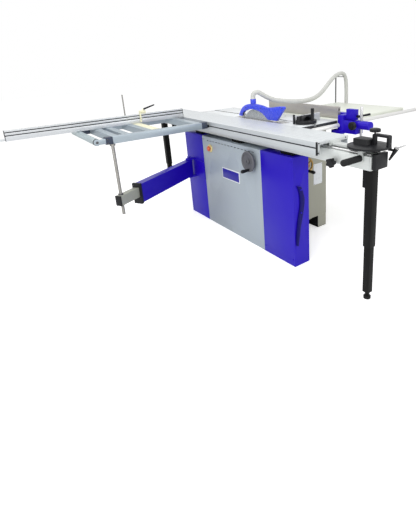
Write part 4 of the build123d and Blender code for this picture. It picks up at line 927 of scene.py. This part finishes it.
class SAW_OT_handwheels(PieceOperator, bpy.types.Operator):
    """Tilt wheel on the front and lift wheel on the side"""

    bl_idname = "saw.handwheels"
    bl_label = "Mount the handwheels"

    def make(self, context):
        rim = size_settings().wheel_rim / 2
        tilt_radius, lift_radius = 0.071, 0.055
        tilt_crank, lift_crank = mm(10, 0, -56), mm(0, 4, -41)
        wheel_parts(
            "tilt_handwheel",
            mm(218, -247, 631),
            (0, -1, 0),
            tilt_radius,
            tilt_crank,
            rim,
            "wheel_grey",
            dished=True,
        )
        wheel_parts(
            "lift_handwheel", mm(342, 165, 542), (1, 0, 0), lift_radius, lift_crank, rim * 0.8, "wheel_brass"
        )


class SAW_OT_controls(PieceOperator, bpy.types.Operator):
    """Stop button, bare badge and bare instruction plate"""

    bl_idname = "saw.controls"
    bl_label = "Fit the controls and plates"

    def make(self, context):
        turn(
            mm(-322, -225, 634),
            (0, -1, 0),
            [(-0.02, 0.0085), (0.0119, 0.0085), (0.0121, 0.0125), (0.0128, 0.0135), (0.0135, 0.0185)]
            + [(0.016, 0.02), (0.021, 0.0196), (0.0243, 0.0165), (0.0257, 0.011), (0.0259, 0.002)],
            48,
        )
        settle("stop_mushroom", body_of_node("stop_button"), "stop_red", ("stop_button",))
        slab(mm(-170, -227.0, 430), mm(60, COVER_FACE, 515), 0.0008)
        settle("badge_border", "base", "plate_white")
        slab(mm(-162, -227.8, 437), mm(52, -226.8, 508), 0.0003)
        settle("badge_field", "base", "badge_blue")
        slab(mm(309.9, 265, 360), mm(311.3, 355, 520), 0.0005)
        settle("side_plate", "base", "plate_white")
        radius = size_settings().screw_head * 0.75
        front = (0, -1, 0)
        screw_top, screw_foot = 694, 46
        cover_x = ((-714, -455), (332, 613))
        places = [(x, z) for pair in cover_x for z in (screw_top, screw_foot) for x in pair]
        for index, (x, z) in enumerate(places):
            name = f"cover_screw_{index}"
            screw(name, "base", mm(x, COVER_FACE, z), front, radius, "case_blue")
        places = [(x, z) for z in (screw_top, screw_foot) for x in (-421, 298)]
        for index, (x, z) in enumerate(places):
            name = f"panel_screw_{index}"
            screw(name, "base", mm(x, COVER_FACE, z), front, radius, "panel_silver")
        places = [(y, z) for z in (366, 514) for y in (270, 350)]
        for index, (y, z) in enumerate(places):
            screw(f"plate_screw_{index}", "base", mm(311.2, y, z), (1, 0, 0), 0.0025)


class SAW_OT_operator_handles(PieceOperator, bpy.types.Operator):
    """Arch handle and the ribbed side grip"""

    bl_idname = "saw.operator_handles"
    bl_label = "Fit the operator's handles"

    def make(self, context):
        body = body_of_node("operator_handles")
        copy_node("operator_handles")
        keep(lambda at: at.z > 850)
        round_edges(0.006, 4, 30)
        settle(
            "arch_handle", body, "black_plastic", ("operator_handles",), outward=False
        )
        groove_r, rib_r = 0.0156, 0.0168
        rings = [(0, 0.0145), (0.001, rib_r), (0.012, rib_r)]
        for index in range(9):
            start = 0.014 + index * 0.0115
            rings += [(start, groove_r), (start + 0.003, groove_r)]
            rings += [(start + 0.0045, rib_r), (start + 0.009, rib_r)]
        rings += [(0.12, 0.0169), (0.1265, 0.0155), (0.1295, 0.0115), (0.13, 0.002)]
        turn(mm(1105, -212, 800), (0, -1, 0), rings, 36)
        settle("side_grip", body, "rubber")


class SAW_OT_outrigger_details(PieceOperator, bpy.types.Operator):
    """Roller with its end rings, screws in the caps, and the fence's end caps and rule"""

    bl_idname = "saw.outrigger_details"
    bl_label = "Detail the outrigger"

    def make(self, context):
        roller = body_of_node("outrigger_roller")
        frame_body = body_of_node("outrigger_caps")
        length, radius, ring, bore = 0.5534, 0.022, 0.009, 0.0065
        seam, edge = 0.0216, 0.0185
        start = [(0, bore), (0, edge), (0.0012, seam), (ring, radius), (ring + 0.0002, seam)]
        start += [(ring + 0.0012, seam), (ring + 0.0014, radius)]
        end = [(length - along, across) for along, across in reversed(start)]
        turn(mm(-761.7, -1072, 838), (1, 0, 0), start + end, 56)
        settle("roller_tube", roller, "roller_alloy", ("outrigger_roller",))
        tint("black_plastic", lambda at, up: at.x < -752.0 or at.x > -217.5)
        outer_side = -200
        places = [(y, z) for y in (-1010, -313) for z in (848, 824)]
        for index, (y, z) in enumerate(places):
            screw(f"cap_screw_{index}", frame_body, mm(outer_side, y, z), (1, 0, 0), 0.0045)
        turn(
            mm(outer_side, -1072, 838),
            (1, 0, 0),
            [(-0.001, 0.0085), (0.0022, 0.0085), (0.003, 0.0075), (0.003, 0.001)],
            6,
        )
        settle("axle_screw", frame_body, "dark_steel")
        fence = body_of_node("crosscut_fence")
        slab(mm(-633, -1502, 860.8), mm(-599, -1499.6, 927.6), 0.0006)
        settle("fence_cap_out", fence, "black_plastic")
        slab(mm(-633, -290.4, 862), mm(-599, -287.6, 927.6), 0.0006)
        settle("fence_cap_in", fence, "black_plastic")
        slab(mm(-629, -1490, 926.6), mm(-618, -300, 927.4), 0.0002)
        settle("fence_rule", fence, "rule_strip")


class SAW_OT_carriage_details(PieceOperator, bpy.types.Operator):
    """Corner cap and screws of the carriage's end, and a dark sheet of painted shadow in the slot along its
    skirt
    """

    bl_idname = "saw.carriage_details"
    bl_label = "Detail the carriage"

    def make(self, context):
        body = body_of_node("carriage_deck")
        slab(mm(876, -285.8, 789), mm(884.8, -277, 860.3), 0.0015)
        settle("corner_cap", body, "black_plastic")
        # A thin dark sheet in the skirt's slot: painted shadow where the slot lies in shade
        slab(mm(-1118, -281.0, 820.5), mm(878, -279.5, 835.5), 0.0003)
        settle("skirt_slot_shadow", body, "slot_shadow")
        end_face = 884
        for index, (y, z) in enumerate(((-270, 852), (-160, 852), (-60, 852), (-273, 800))):
            screw(f"end_screw_{index}", body, mm(end_face, y, z), (1, 0, 0), 0.004)


class SAW_OT_guard_details(PieceOperator, bpy.types.Operator):
    """Ribs and screws on the blade guard, and the hose's clamp"""

    bl_idname = "saw.guard_details"
    bl_label = "Detail the guard"

    def make(self, context):
        body = body_of_node("blade_guard")
        rib_foot, rib_head = 880, 958
        for index, top in enumerate((178, 214, 250)):
            foot = 215.5 + index * 4
            for side in (-1, 1):
                ends = [mm(foot, side * 10, rib_foot), mm(top, side * 10, rib_head)]
                pipe(ends, 0.0013, smooth=False, resolution=3)
                settle(f"tail_rib_{index}_{side + 1}", body, "guard_blue")
        for index, (x, z) in enumerate(((-185, 890), (-120, 938), (60, 944), (292, 960))):
            screw(f"guard_screw_{index}", body, mm(x, -9.9, z), (0, -1, 0), 0.004)
        torus(mm(-35, 0, 1003.5), (0, 0, 1), 0.0212, 0.0018, 48, 10)
        settle("port_clamp", body, "guard_blue")


CLASSES = (
    SawFinishSettings,
    SawSizeSettings,
    SAW_OT_stage,
    SAW_OT_dust_hose,
    SAW_OT_cad_finishes,
    SAW_OT_handwheels,
    SAW_OT_controls,
    SAW_OT_operator_handles,
    SAW_OT_outrigger_details,
    SAW_OT_carriage_details,
    SAW_OT_guard_details,
)


class SAW_PT_pieces(bpy.types.Panel):
    """Lists the saw's pieces and the stage"""

    bl_idname = "SAW_PT_pieces"
    bl_label = "Table Saw"
    bl_space_type = "VIEW_3D"
    bl_region_type = "UI"
    bl_category = "Table Saw"

    def draw(self, context):
        for settings in (context.scene.saw_finish, context.scene.saw_sizes):
            box = self.layout.box()
            for name in settings.__annotations__:
                box.prop(settings, name)
        for item in CLASSES:
            if issubclass(item, bpy.types.Operator):
                self.layout.operator(item.bl_idname)


def register():
    for item in (*CLASSES, SAW_PT_pieces):
        bpy.utils.register_class(item)
    bpy.types.Scene.saw_finish = bpy.props.PointerProperty(type=SawFinishSettings)
    bpy.types.Scene.saw_sizes = bpy.props.PointerProperty(type=SawSizeSettings)


def unregister():
    del bpy.types.Scene.saw_sizes
    del bpy.types.Scene.saw_finish
    for item in reversed((*CLASSES, SAW_PT_pieces)):
        bpy.utils.unregister_class(item)


def main():
    """Makes every piece in turn."""
    register()
    kit.update(make_materials())
    bpy.ops.saw.stage()
    bpy.ops.saw.dust_hose()
    bpy.ops.saw.cad_finishes()
    bpy.ops.saw.handwheels()
    bpy.ops.saw.controls()
    bpy.ops.saw.operator_handles()
    bpy.ops.saw.outrigger_details()
    bpy.ops.saw.carriage_details()
    bpy.ops.saw.guard_details()
    clear_selection()


if __name__ == "__main__":
    main()
